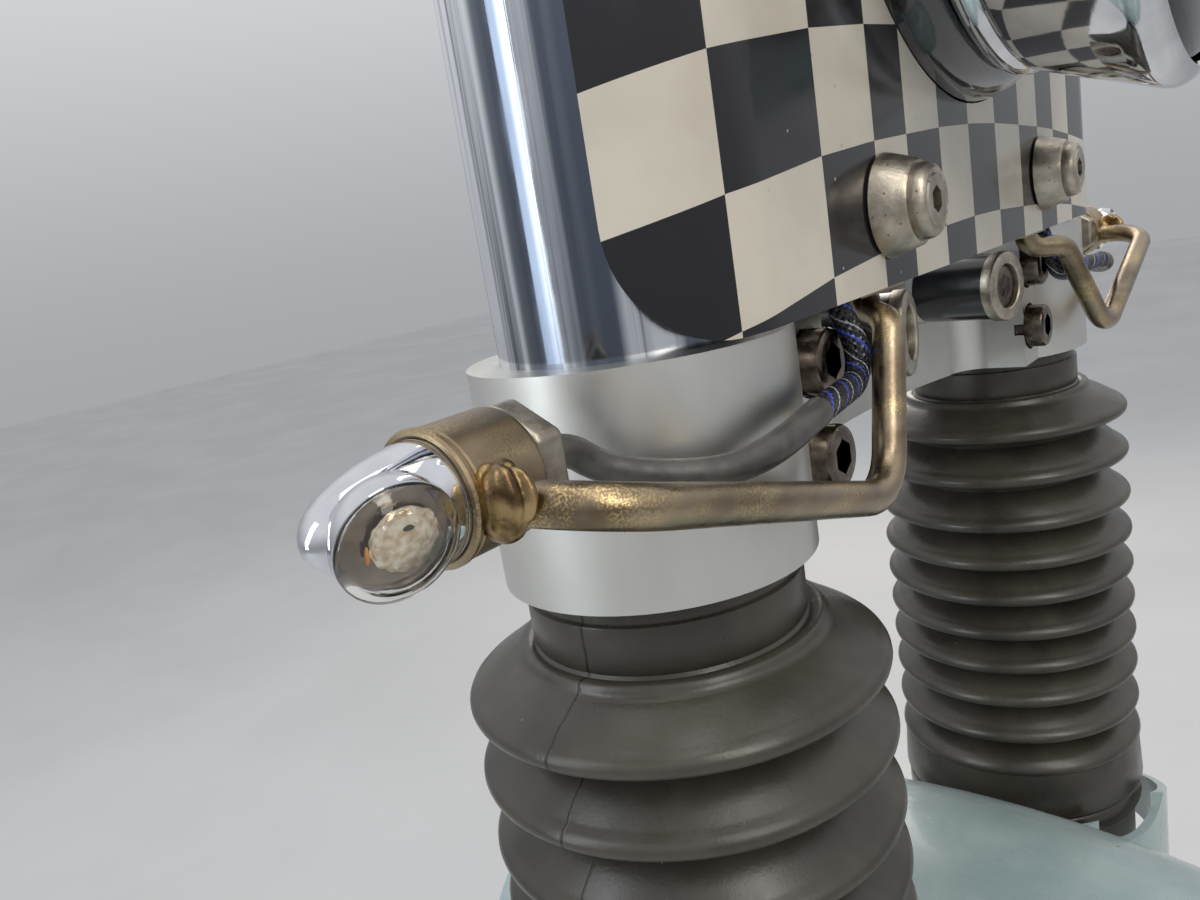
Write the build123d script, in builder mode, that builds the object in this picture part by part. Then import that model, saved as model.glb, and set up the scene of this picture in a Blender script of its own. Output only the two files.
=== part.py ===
from build123d import *
import math
import os

os.makedirs("parts", exist_ok=True)

# The frame: Z is the steering axis, X points forward, Y to the rider's left.
# The origin is the middle of the steering head. All lengths are millimetres.

# Steering head and bearings
head_length = 150.0
head_od = 58.0
head_id = 46.0
cup_seat_depth = 16.0
cup_od = 51.0
cup_id = 40.0
cup_flange_od = 60.0
cup_flange = 4.0
cone_gap = 0.5
cone_depth = 12.0
dust_flange_od = 56.0
dust_flange = 4.5
race_gap = 1.5
stem_od = 30.0
stem_thread_od = 25.0
adjuster_od = 46.0
adjuster_height = 8.0
adjuster_slots = 6
top_nut_width = 36.0
top_nut_height = 13.0

# Legs
leg_spacing = 206.0
leg_offset = 45.0
tube_od = 48.0
tube_wall = 3.0
tube_above_yoke = 34.0
handlebar_seat_cut = 2.0
tube_in_slider = 190.0
cap_od = tube_od - 4.0
cap_hex = 24.0
cap_height = 9.0

# Yokes
clamp_od = tube_od + 12.5
lower_yoke_height = 41.0
upper_yoke_height = 30.0
stem_boss_od = 56.0
web_drop = 5.0
web_front = 38.0
web_front_at_lug = 46.0
web_fillet = 9.5
web_set_back = 11.0
front_web_height = 18.5
lug_front = 66.3
lug_inner = leg_spacing / 2 - 35.5
lug_outer = leg_spacing / 2 - 17.0
slit = 2.0
slit_margin = 2.0
pinch_y = leg_spacing / 2 - tube_od / 2 - 4.5
pinch_head_od = 13.0
pinch_head = 8.0
pinch_stand = 5.2
pinch_seat_gap = 0.7
pinch_shank_od = 8.0
pinch_tail = 26.0
lower_pinch_drops = (10.3, 29.4)
upper_pinch_drops = (upper_yoke_height / 2,)
fit = 0.2

# Bosses in front of the lower yoke
boss_y = 36.0
boss_drop = 11.8
boss_toe_in = 11.0
boss_root = 48.0
boss_od = 18.4
boss_ring_od = 19.3
boss_ring = 3.2
boss_bolt_od = 11.6
boss_bolt_head = 6.0
boss_front = 72.0
boss_shank_od = 7.0
boss_shank_tail = 20.0

# Gaiters
gaiter_od = tube_od + 34.0
gaiter_root_od = tube_od + 14.0
gaiter_neck_od = tube_od + 10.6
gaiter_neck = 11.4
gaiter_first_tip = 22.9
gaiter_pitch = 14.1
gaiter_tips = 9
gaiter_lip = 1.8
gaiter_bore = tube_od + 4.0
collar_od = tube_od + 35.5
collar_height = 18.5
soft_gap = 0.3

# Sliders
slider_head_od = tube_od + 29.0
slider_head_below_collar = 18.0
slider_taper = 22.0
slider_od = tube_od + 15.0
axle_drop = 505.0
axle_bore = 20.0
axle_lug_width = 40.0
axle_lug_od = 52.0
slider_bore_gap = 0.2
caliper_lug_reach = 62.0
caliper_lug_width = 16.0
caliper_lug_od = 24.0
caliper_hole = 10.0
caliper_spacing = 100.0
caliper_lower_rise = 66.0

# Chequered panel
panel_reach = tube_od / 2 + 8.0
panel_wall = 2.5
panel_wrap = 55.7
panel_gap = 1.0
panel_corner = 20.0
panel_bolt_rise = 15.5
panel_bolt_angle = 46.0
cone_clear = 1.7
cone_base_od = 20.6
cone_top_od = 15.5
cone_height = 7.0
bolt_head_od = 14.5
bolt_head = 4.4
bolt_shank_od = 8.0
bolt_socket = 5.0

# Brackets behind the panel
plate_wall = 3.0
plate_to_bolt_in = 11.5
plate_to_bolt_out = 10.5
plate_top_margin = 9.5
flange_back = 8.0
foot_back = 16.0
foot_lap = 10.5

# Indicators
rod_od = 6.2
rod_bend = 13.0
rod_crank = 5.0
collar_x = 60.5
collar_drop = 8.4
indicator_collar_od = 18.3
indicator_collar_inner_y = 155.8
indicator_collar_length = 13.7
indicator_nut_width = 15.5
indicator_nut = 5.5
indicator_body_od = 16.6
indicator_nose_od = 12.6
indicator_body_length = 19.0
lens_angle = 38.0
lens_od = 15.4
lens_wall = 2.2
lens_from_tip = 10.0
lens_set_in = 2.0
led_od = 9.5
led_depth = 3.0
lead_od = 4.8
gland_tilt = 30.5
grommet_od = 9.0
grommet_height = 4.0
grommet_gap = 0.15

# Headlamp
lamp_rise = 104.0
bucket_od = 136.0
bucket_wall = 2.0
bucket_back_x = 43.0
bucket_back_od = bucket_od - 62.0
bucket_shoulder_x = 64.0
bucket_front_x = 86.0
bucket_neck_od = bucket_od - 12.0
bucket_neck = 8.0
rim_od = bucket_od + 11.0
rim_depth = 37.0
rim_lip = 3.4
rim_wall = 2.0
lens_crown = 6.0
glass_wall = 3.0
reflector_back = 57.0
reflector_r = bucket_od / 2 - 6.0
reflector_wall = 2.0

# Mudguard
guard_crown_rise = 43.3
guard_wall = 3.0
guard_half_width = 57.0
guard_front_angle = 38.0
guard_rear_angle = 27.0
guard_skirt = 26.0
guard_side = 34.0
wing_radius = slider_od / 2 + 14.5
wing_top_above_collar = 9.0
wing_height = 36.0
notch_angle = -25.0
notch_radius = 27.0
notch_depth = 9.7
wing_fall = 0.45
wing_from = -138.0
wing_to = 95.0
guard_boss_od = 12.0
guard_boss_drop = 9.0
guard_boss_angles = (-54.0, -126.0)
guard_bolt_od = 10.0
guard_bolt_head = 3.5
guard_bolt_shank_od = 6.0
guard_bolt_length = 14.0

SIDES = (("right", -1), ("left", 1))

# Heights worked out from the sizes above
half_head = head_length / 2
lower_yoke_top = -half_head - cup_flange - race_gap - dust_flange
lower_yoke_bottom = lower_yoke_top - lower_yoke_height
dust_top = half_head + cup_flange + race_gap + dust_flange
upper_yoke_bottom = dust_top + adjuster_height
upper_yoke_top = upper_yoke_bottom + upper_yoke_height
tube_top = upper_yoke_top + tube_above_yoke
leg_y = leg_spacing / 2
axle_z = lower_yoke_top - axle_drop
first_tip_z = lower_yoke_bottom - gaiter_first_tip
last_tip_z = first_tip_z - gaiter_pitch * (gaiter_tips - 1)
collar_top_z = last_tip_z - gaiter_pitch
collar_bottom_z = collar_top_z - collar_height
lamp_z = lower_yoke_top + lamp_rise
bolt_circle = bucket_od / 2 + cone_base_od / 2 + cone_clear
panel_bolt_y = bolt_circle * math.cos(math.radians(panel_bolt_angle))
panel_front = leg_offset + panel_reach
panel_back = panel_front - panel_wall
panel_bottom = lower_yoke_top + panel_gap
panel_top = upper_yoke_bottom - panel_gap
panel_height = panel_top - panel_bottom
panel_bolt_heights = (
    panel_bottom + panel_bolt_rise,
    lamp_z + bolt_circle * math.sin(math.radians(panel_bolt_angle)),
)
plate_inner = panel_bolt_y - plate_to_bolt_in
plate_outer = panel_bolt_y + plate_to_bolt_out
upper_plate_bottom = panel_bolt_heights[1] - plate_top_margin
upper_plate_inner = math.sqrt((bucket_od / 2 + soft_gap) ** 2 - (upper_plate_bottom - lamp_z) ** 2)
indicator_z = lower_yoke_top - collar_drop
wing_top = collar_bottom_z + wing_top_above_collar
guard_boss_z = collar_bottom_z - guard_boss_drop
crown_top = collar_bottom_z + guard_crown_rise


def save(part, name):
    part.label = name
    export_step(part, f"parts/{name}.step")


def along_x(x, y, z):
    """A plane at the point whose normal points forward."""
    return Plane(origin=(x, y, z), x_dir=(0, 1, 0), z_dir=(1, 0, 0))


def along_y(x, y, z, direction=1):
    """A plane at the point whose normal points sideways."""
    return Plane(origin=(x, y, z), x_dir=(1, 0, 0), z_dir=(0, direction, 0))


def from_leg(sign, angle, radius, z):
    """A plane at a radius from a leg's axis, facing outwards; 0 degrees is forward, 90 outboard."""
    turn = math.radians(angle)
    out = (math.cos(turn), sign * math.sin(turn), 0)
    origin = (leg_offset + radius * out[0], sign * leg_y + radius * out[1], z)
    return Plane(origin=origin, x_dir=(0, 0, 1), z_dir=out)


def dome_arc(apex_x, edge_x, edge_r):
    """An arc about the lamp's axis from a round edge to the apex, part of a sphere."""
    depth = apex_x - edge_x
    sphere_r = (edge_r ** 2 + depth ** 2) / (2 * abs(depth))
    centre_x = apex_x - math.copysign(sphere_r, depth)
    half = math.atan2(edge_r, (edge_x - centre_x) * math.copysign(1, depth)) / 2
    middle = (centre_x + math.copysign(sphere_r, depth) * math.cos(half), sphere_r * math.sin(half))
    return ThreePointArc((edge_x, edge_r), middle, (apex_x, 0))


# Steering head tube, counterbored at both ends for the bearing cups
with BuildPart() as head_tube:
    Cylinder(head_od / 2, head_length)
    Cylinder(head_id / 2, head_length, mode=Mode.SUBTRACT)
    for end in (-1, 1):
        with Locations((0, 0, end * (half_head - cup_seat_depth / 2))):
            Cylinder(cup_od / 2, cup_seat_depth, mode=Mode.SUBTRACT)
    chamfer(head_tube.edges().filter_by(GeomType.CIRCLE).sort_by(Axis.Z)[0], 1.0)
save(head_tube.part, "steering_head_tube")

for name, end in (("lower", -1), ("upper", 1)):
    cup_plane = Plane(origin=(0, 0, end * half_head), z_dir=(0, 0, end))
    with BuildPart(cup_plane) as bearing_cup:
        with BuildSketch(cup_plane.offset(-cup_seat_depth)):
            Circle(cup_od / 2)
            Circle(cup_id / 2, mode=Mode.SUBTRACT)
        extrude(amount=cup_seat_depth)
        with BuildSketch(cup_plane):
            Circle(cup_flange_od / 2)
            Circle(cup_id / 2, mode=Mode.SUBTRACT)
        extrude(amount=cup_flange)
    save(bearing_cup.part, f"head_bearing_cup_{name}")

    # Inner race with its dust flange, turning with the stem
    with BuildPart() as bearing_cone:
        with BuildSketch(cup_plane.offset(cup_flange + race_gap)):
            Circle(dust_flange_od / 2)
            Circle(stem_od / 2, mode=Mode.SUBTRACT)
        extrude(amount=dust_flange)
        with BuildSketch(cup_plane.offset(-cone_depth)):
            Circle(cup_id / 2 - cone_gap)
            Circle(stem_od / 2, mode=Mode.SUBTRACT)
        extrude(amount=cone_depth + cup_flange + race_gap)
    save(bearing_cone.part, f"head_bearing_cone_{name}")

# Steering stem, pressed into the lower yoke, with its thread at the top
with BuildPart() as stem:
    with BuildSketch(Plane.XY.offset(lower_yoke_bottom)):
        Circle(stem_od / 2)
    extrude(amount=upper_yoke_bottom - lower_yoke_bottom)
    with BuildSketch(Plane.XY.offset(upper_yoke_bottom)):
        Circle(stem_thread_od / 2)
    extrude(amount=upper_yoke_height + top_nut_height - 3)
    chamfer(stem.edges().filter_by(GeomType.CIRCLE).sort_by(Axis.Z)[-1], 1.5)
save(stem.part, "steering_stem")

# Slotted ring nut that sets the bearings
with BuildPart() as adjuster:
    with BuildSketch(Plane.XY.offset(dust_top)):
        Circle(adjuster_od / 2)
        Circle(stem_od / 2, mode=Mode.SUBTRACT)
        with PolarLocations(adjuster_od / 2, adjuster_slots):
            Rectangle(5, 6, mode=Mode.SUBTRACT)
    extrude(amount=adjuster_height)
save(adjuster.part, "bearing_adjuster_nut")

# Chromed hexagon nut with a flange on top of the upper yoke
with BuildPart() as top_nut:
    with BuildSketch(Plane.XY.offset(upper_yoke_top)):
        Circle(top_nut_width / 2 + 3)
        Circle(stem_thread_od / 2, mode=Mode.SUBTRACT)
    extrude(amount=2.5)
    with BuildSketch(Plane.XY.offset(upper_yoke_top + 2.5)):
        RegularPolygon(top_nut_width / 2, 6, major_radius=False)
        Circle(stem_thread_od / 2, mode=Mode.SUBTRACT)
    extrude(amount=top_nut_height - 2.5)
save(top_nut.part, "steering_stem_nut")


def yoke(bottom, height, pinch_drops, stem_hole, front_web):
    """A triple clamp: two clamp rings, the stem boss, a web and pinch lugs in front."""
    top = bottom + height
    with BuildPart() as body:
        with BuildSketch(Plane.XY.offset(bottom)):
            with Locations((leg_offset, -leg_y), (leg_offset, leg_y)):
                Circle(clamp_od / 2)
            Circle(stem_boss_od / 2)
            lug_middle = (lug_inner + lug_outer) / 2
            with Locations(*[((web_front + lug_front) / 2, s * lug_middle) for n, s in SIDES]):
                Rectangle(lug_front - web_front, lug_outer - lug_inner)
        extrude(amount=height)
        # Web, a little lower than the rings and set back above its front edge
        rear_in = (-stem_boss_od * 0.36, stem_boss_od * 0.34)
        rear_out = (leg_offset - clamp_od * 0.36, leg_y - clamp_od * 0.2)
        front_out = (web_front - web_set_back, leg_y - clamp_od * 0.3)
        with BuildSketch(Plane.XY.offset(bottom)):
            with BuildLine():
                Polyline(
                    rear_in, rear_out, front_out,
                    (front_out[0], -front_out[1]), (rear_out[0], -rear_out[1]),
                    (rear_in[0], -rear_in[1]), close=True,
                )
            make_face()
        extrude(amount=height - web_drop)
        # Front edge of the web, hollow in plan and rounded into the lugs
        corner = (web_front_at_lug, lug_inner - web_fillet)
        lug_point = (web_front_at_lug + web_fillet, lug_inner)
        turn_in = web_fillet * (1 - math.sqrt(0.5))
        middle = (web_front_at_lug + turn_in, lug_inner - turn_in)
        back = web_front - web_set_back - 4
        with BuildSketch(Plane.XY.offset(bottom)):
            with BuildLine():
                ThreePointArc((corner[0], -corner[1]), (web_front, 0), corner)
                ThreePointArc(corner, middle, lug_point)
                Polyline(
                    lug_point, (lug_point[0], lug_inner + 6), (back, lug_inner + 6),
                    (back, -lug_inner - 6), (lug_point[0], -lug_inner - 6),
                    (lug_point[0], -lug_inner),
                )
                ThreePointArc((lug_point[0], -lug_inner), (middle[0], -middle[1]), (corner[0], -corner[1]))
            make_face()
        extrude(amount=front_web)
        # Bores and slits
        with BuildSketch(Plane.XY.offset(bottom)):
            with Locations((leg_offset, -leg_y), (leg_offset, leg_y)):
                Circle(tube_od / 2)
            Circle(stem_hole / 2)
            slit_start = lug_inner + slit_margin
            slit_end = leg_y - tube_od / 2 + 2
            with Locations(*[(leg_offset, s * (slit_start + slit_end) / 2) for n, s in SIDES]):
                Rectangle(slit, slit_end - slit_start)
        extrude(amount=height, mode=Mode.SUBTRACT)
        # Pinch bolt holes with shallow seats in the front faces of the lugs
        for side, sign in SIDES:
            for drop in pinch_drops:
                with BuildSketch(along_x(lug_front, sign * pinch_y, top - drop)):
                    Circle(pinch_head_od / 2 + pinch_seat_gap)
                extrude(amount=-(pinch_head - pinch_stand), mode=Mode.SUBTRACT)
                with BuildSketch(along_x(lug_front, sign * pinch_y, top - drop)):
                    Circle(pinch_shank_od / 2)
                extrude(amount=-(lug_front - pinch_tail), mode=Mode.SUBTRACT)
    return body


def boss_plane(sign, reach):
    """A plane square to a boss's toed-in axis, a reach behind its front face."""
    turn = math.radians(boss_toe_in)
    out = (math.cos(turn), -sign * math.sin(turn), 0)
    origin = (boss_front - reach * out[0], sign * boss_y - reach * out[1], lower_yoke_top - boss_drop)
    return Plane(origin=origin, x_dir=(0, 0, 1), z_dir=out)


def socket_bolt(x, y, z, head_od, head, shank_od, tail_x, socket):
    """A bolt along X with its head's face at x and its shank's end at tail_x."""
    with BuildPart() as bolt:
        with BuildSketch(along_x(x, y, z)):
            Circle(head_od / 2)
        extrude(amount=-head)
        with BuildSketch(along_x(x - head, y, z)):
            Circle(shank_od / 2)
        extrude(amount=-(x - head - tail_x))
        with BuildSketch(along_x(x, y, z)):
            RegularPolygon(socket / 2, 6, major_radius=False)
        extrude(amount=-head * 0.6, mode=Mode.SUBTRACT)
    return bolt.part


boss_cos = math.cos(math.radians(boss_toe_in))
root_reach = (boss_front - boss_root) / boss_cos
tail_reach = (boss_front - boss_shank_tail) / boss_cos
with BuildPart() as lower_yoke:
    add(yoke(lower_yoke_bottom, lower_yoke_height, lower_pinch_drops, stem_od, front_web_height).part)
    # Roots of the two bosses, with their bolt holes
    for side, sign in SIDES:
        with BuildSketch(boss_plane(sign, root_reach)):
            Circle(boss_od / 2)
        extrude(amount=-(tail_reach - root_reach - 2))
        with BuildSketch(boss_plane(sign, root_reach)):
            Circle(boss_shank_od / 2)
        extrude(amount=-(tail_reach - root_reach), mode=Mode.SUBTRACT)
    with BuildSketch(Plane.XY.offset(lower_yoke_bottom)):
        Circle(stem_od / 2)
    extrude(amount=lower_yoke_height, mode=Mode.SUBTRACT)
save(lower_yoke.part, "lower_yoke")

upper_yoke = yoke(
    upper_yoke_bottom, upper_yoke_height, upper_pinch_drops, stem_thread_od,
    upper_yoke_height - web_drop,
)
save(upper_yoke.part, "upper_yoke")

# Gaiter outline, from the neck under the yoke down to the collar on the slider
neck_bottom = lower_yoke_bottom - gaiter_neck
slider_top = collar_top_z + 2
slider_head_bottom = collar_bottom_z - slider_head_below_collar
slider_shoulder = slider_head_bottom - slider_taper
tube_bottom = slider_top - tube_in_slider
gaiter_points = [
    (tube_od / 2 + soft_gap, lower_yoke_bottom),
    (gaiter_neck_od / 2, lower_yoke_bottom),
    (gaiter_neck_od / 2, neck_bottom),
]
for i in range(gaiter_tips):
    tip = first_tip_z - i * gaiter_pitch
    gaiter_points += [
        (gaiter_od / 2, tip + gaiter_lip / 2),
        (gaiter_od / 2, tip - gaiter_lip / 2),
        (gaiter_root_od / 2, tip - gaiter_pitch * 0.36),
    ]
gaiter_points += [
    (collar_od / 2, collar_top_z),
    (collar_od / 2, collar_bottom_z),
    (slider_head_od / 2 + soft_gap, collar_bottom_z),
    (slider_head_od / 2 + soft_gap, slider_top + soft_gap),
    (gaiter_bore / 2, slider_top + soft_gap),
    (gaiter_bore / 2, neck_bottom),
    (tube_od / 2 + soft_gap, neck_bottom),
]

for side, sign in SIDES:
    leg = Plane(origin=(leg_offset, sign * leg_y, 0), x_dir=(1, 0, 0), z_dir=(0, -1, 0))

    with BuildPart() as fork_tube:
        with BuildSketch(Plane.XY.offset(tube_bottom)):
            with Locations((leg_offset, sign * leg_y)):
                Circle(tube_od / 2)
                Circle(tube_od / 2 - tube_wall, mode=Mode.SUBTRACT)
        extrude(amount=upper_yoke_top - tube_bottom)
        # Seat for the handlebar clamp, ground under the tube's size and ending at a shoulder
        with BuildSketch(Plane.XY.offset(upper_yoke_top)):
            with Locations((leg_offset, sign * leg_y)):
                Circle((tube_od - handlebar_seat_cut) / 2)
                Circle(tube_od / 2 - tube_wall, mode=Mode.SUBTRACT)
        extrude(amount=tube_above_yoke)
    save(fork_tube.part, f"fork_tube_{side}")

    with BuildPart() as fork_cap:
        with BuildSketch(Plane.XY.offset(tube_top)):
            with Locations((leg_offset, sign * leg_y)):
                Circle(cap_od / 2)
        extrude(amount=cap_height / 2)
        with BuildSketch(Plane.XY.offset(tube_top + cap_height / 2)):
            with Locations((leg_offset, sign * leg_y)):
                RegularPolygon(cap_hex / 2, 6, major_radius=False)
        extrude(amount=cap_height / 2)
        with BuildSketch(Plane.XY.offset(tube_top)):
            with Locations((leg_offset, sign * leg_y)):
                Circle(tube_od / 2 - tube_wall)
        extrude(amount=-18)
    save(fork_cap.part, f"fork_cap_{side}")

    with BuildPart() as gaiter:
        with BuildSketch(leg):
            with BuildLine():
                Polyline(*gaiter_points, close=True)
            make_face()
        revolve(axis=Axis((leg_offset, sign * leg_y, 0), (0, 0, 1)))
    save(gaiter.part, f"gaiter_{side}")

    with BuildPart() as slider:
        slider_foot = axle_z + axle_lug_od / 2
        with BuildSketch(leg):
            with BuildLine():
                Polyline(
                    (0, slider_top),
                    (slider_head_od / 2, slider_top),
                    (slider_head_od / 2, slider_head_bottom),
                    (slider_od / 2, slider_shoulder),
                    (slider_od / 2, slider_foot + 12),
                    (slider_od / 2 - 10, slider_foot - 8),
                    (0, slider_foot - 8),
                    close=True,
                )
            make_face()
        revolve(axis=Axis((leg_offset, sign * leg_y, 0), (0, 0, 1)))
        # Axle lug
        with BuildSketch(along_y(leg_offset, sign * (leg_y - axle_lug_width / 2), axle_z, sign)):
            Circle(axle_lug_od / 2)
            with Locations((0, sign * -axle_lug_od / 2)):
                Rectangle(axle_lug_od * 0.8, axle_lug_od)
        extrude(amount=axle_lug_width)
        # Caliper lugs behind the leg
        for rise in (caliper_lower_rise, caliper_lower_rise + caliper_spacing):
            lug_z = axle_z + rise
            with BuildSketch(along_y(leg_offset, sign * (leg_y - caliper_lug_width / 2), lug_z, sign)):
                with Locations((-caliper_lug_reach, 0)):
                    Circle(caliper_lug_od / 2)
                with Locations((-caliper_lug_reach / 2, 0)):
                    Rectangle(caliper_lug_reach, caliper_lug_od)
            extrude(amount=caliper_lug_width)
            with BuildSketch(along_y(leg_offset, sign * (leg_y - caliper_lug_width / 2), lug_z, sign)):
                with Locations((-caliper_lug_reach, 0)):
                    Circle(caliper_hole / 2)
            extrude(amount=caliper_lug_width, mode=Mode.SUBTRACT)
        # Tube bore and axle bore
        with BuildSketch(Plane.XY.offset(slider_top)):
            with Locations((leg_offset, sign * leg_y)):
                Circle(tube_od / 2 + slider_bore_gap)
        extrude(amount=-(tube_in_slider + 4), mode=Mode.SUBTRACT)
        with BuildSketch(along_y(leg_offset, sign * (leg_y - axle_lug_width / 2), axle_z, sign)):
            Circle(axle_bore / 2)
        extrude(amount=axle_lug_width, mode=Mode.SUBTRACT)
        # Bosses for the mudguard
        for angle in guard_boss_angles:
            boss_start = tube_od / 2 + 8
            boss_end = math.sqrt(wing_radius ** 2 - (guard_boss_od / 2) ** 2)
            with BuildSketch(from_leg(sign, angle, boss_start, guard_boss_z)):
                Circle(guard_boss_od / 2)
            extrude(amount=boss_end - boss_start)
            with BuildSketch(from_leg(sign, angle, boss_end, guard_boss_z)):
                Circle(guard_bolt_shank_od / 2)
            extrude(amount=-(guard_bolt_length - guard_wall), mode=Mode.SUBTRACT)
    save(slider.part, f"slider_{side}")

    # Pinch bolts of both yokes on this side
    with BuildPart() as pinch_bolts:
        for yoke_top, drops in (
            (lower_yoke_top, lower_pinch_drops),
            (upper_yoke_top, upper_pinch_drops),
        ):
            for drop in drops:
                add(socket_bolt(
                    lug_front + pinch_stand, sign * pinch_y, yoke_top - drop,
                    pinch_head_od, pinch_head, pinch_shank_od, pinch_tail, 6.0,
                ))
    save(pinch_bolts.part, f"pinch_bolts_{side}")

    # Boss in front of the lower yoke: black spacer, bright ring and socket bolt
    boss_bolt_face = 1.2
    with BuildPart() as boss:
        with BuildSketch(boss_plane(sign, boss_ring)):
            Circle(boss_od / 2)
            Circle(boss_shank_od / 2, mode=Mode.SUBTRACT)
        extrude(amount=-(root_reach - boss_ring))
        with BuildSketch(boss_plane(sign, boss_ring)):
            Circle(boss_bolt_od / 2 + fit)
        extrude(amount=-(boss_bolt_face + boss_bolt_head - boss_ring), mode=Mode.SUBTRACT)
    save(boss.part, f"yoke_boss_{side}")

    with BuildPart() as boss_ring_part:
        with BuildSketch(boss_plane(sign, boss_ring)):
            Circle(boss_ring_od / 2)
            Circle(boss_bolt_od / 2 + fit, mode=Mode.SUBTRACT)
        extrude(amount=boss_ring)
        chamfer(boss_ring_part.edges().filter_by(GeomType.CIRCLE).sort_by(Axis.X)[-1], 0.6)
    save(boss_ring_part.part, f"yoke_boss_ring_{side}")

    with BuildPart() as boss_bolt:
        with BuildSketch(boss_plane(sign, boss_bolt_face)):
            Circle(boss_bolt_od / 2)
        extrude(amount=-boss_bolt_head)
        with BuildSketch(boss_plane(sign, boss_bolt_face + boss_bolt_head)):
            Circle(boss_shank_od / 2)
        extrude(amount=-(tail_reach - boss_bolt_face - boss_bolt_head))
        with BuildSketch(boss_plane(sign, boss_bolt_face)):
            RegularPolygon(3.0, 6, major_radius=False)
        extrude(amount=-boss_bolt_head * 0.6, mode=Mode.SUBTRACT)
    save(boss_bolt.part, f"yoke_boss_bolt_{side}")

# Chequered panel: flat in front, wrapped round the outside of both tubes
with BuildPart() as panel:
    with BuildSketch(Plane.XY.offset(panel_bottom)):
        with BuildLine():
            inner_r = panel_reach - panel_wall
            outer_right = CenterArc((leg_offset, -leg_y), panel_reach, -panel_wrap, panel_wrap)
            outer_left = CenterArc((leg_offset, leg_y), panel_reach, 0, panel_wrap)
            inner_right = CenterArc((leg_offset, -leg_y), inner_r, -panel_wrap, panel_wrap)
            inner_left = CenterArc((leg_offset, leg_y), inner_r, 0, panel_wrap)
            Line(outer_right @ 1, outer_left @ 0)
            Line(inner_right @ 1, inner_left @ 0)
            Line(outer_right @ 0, inner_right @ 0)
            Line(outer_left @ 1, inner_left @ 1)
        make_face()
    extrude(amount=panel_height)
    # Round the four outer corners, square to the wall at each end
    wrap = math.radians(panel_wrap)
    middle_r = panel_reach - panel_wall / 2
    for side, sign in SIDES:
        outward = (math.cos(wrap), sign * math.sin(wrap), 0)
        inward = (math.sin(wrap), -sign * math.cos(wrap), 0)
        for height, up in ((panel_bottom, 1), (panel_top, -1)):
            end = (leg_offset + middle_r * outward[0], sign * leg_y + middle_r * outward[1], height)
            end_plane = Plane(origin=end, x_dir=inward, z_dir=outward)
            up_local = end_plane.to_local_coords(Vector(*end) + Vector(0, 0, up)).Y
            with BuildSketch(end_plane):
                with Locations((panel_corner / 2, up_local * panel_corner / 2)):
                    Rectangle(panel_corner, panel_corner)
                with Locations((panel_corner, up_local * panel_corner)):
                    Circle(panel_corner, mode=Mode.SUBTRACT)
            extrude(amount=panel_corner, both=True, mode=Mode.SUBTRACT)
    with BuildSketch(along_x(panel_front, 0, lamp_z)):
        Circle(bucket_od / 2 + soft_gap)
    extrude(amount=-panel_wall, mode=Mode.SUBTRACT)
    for side, sign in SIDES:
        for height in panel_bolt_heights:
            with BuildSketch(along_x(panel_front, sign * panel_bolt_y, height)):
                Circle(bolt_shank_od / 2)
            extrude(amount=-panel_wall, mode=Mode.SUBTRACT)
save(panel.part, "headlamp_panel")


def corner_radii(points):
    """The widest tangent arc at each corner of a route, for its two runs."""
    radii = []
    for before, here, after in zip(points, points[1:], points[2:]):
        run_in = Vector(*here) - Vector(*before)
        run_out = Vector(*after) - Vector(*here)
        turn = math.radians(run_in.get_angle(run_out))
        radii.append(0.45 * min(run_in.length, run_out.length) / math.tan(turn / 2))
    return radii


def route(points, sign):
    return [(x, sign * y, z) for x, y, z in points]


rod_x = panel_back - rod_od / 2 - 0.3
# Centre line of the bracket rod: forward, sideways, height
rod_points = (
    (rod_x, panel_bolt_y + 1.9, panel_bottom + 8.0),
    (rod_x, panel_bolt_y + 1.9, panel_bottom - 4.5),
    (panel_front + 2.5, panel_bolt_y + 10.4, panel_bottom - 6.0),
    (panel_front + 8.0, leg_y - 17.0, panel_bottom - 34.5),
    (panel_front + 7.0, indicator_collar_inner_y + 6.5, indicator_z - 2.0),
    (collar_x + indicator_collar_od / 2 - 1.0, indicator_collar_inner_y + 6.5, indicator_z - 2.0),
)
rod_radii = (rod_crank, rod_crank, rod_bend, rod_bend)

# The lead enters the lamp bucket square to its wall
gland_angle = math.radians(gland_tilt)
gland_y = (bucket_od / 2 + soft_gap) * math.sin(gland_angle)
gland_drop = (bucket_od / 2 + soft_gap) * math.cos(gland_angle)
lead_end_x = bucket_shoulder_x + grommet_od / 2

# Route of the indicator lead: forward, sideways, height
nut_inner_y = indicator_collar_inner_y - indicator_nut
lead_points = (
    (collar_x, nut_inner_y, indicator_z),
    (collar_x, 142.5, indicator_z),
    (61.5, 136.5, indicator_z - 5.0),
    (67.0, 132.5, indicator_z - 7.5),
    (74.5, 125.5, indicator_z - 9.2),
    (78.2, 119.5, indicator_z - 8.8),
    (80.6, 113.0, indicator_z - 7.4),
    (81.5, 104.0, indicator_z - 5.2),
    (80.0, 91.0, indicator_z - 5.0),
    (75.6, 73.6, indicator_z - 6.3),
    (74.9, 70.8, indicator_z + 0.9),
    (71.3, 71.3, indicator_z + 9.0),
    (70.0, 72.5, indicator_z + 24.0),
    (68.5, 65.5, indicator_z + 35.0),
    (68.0, 53.5, indicator_z + 34.5),
    (lead_end_x, gland_y * 1.25, lamp_z - gland_drop * 1.25),
    (lead_end_x, gland_y, lamp_z - gland_drop),
)

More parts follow.
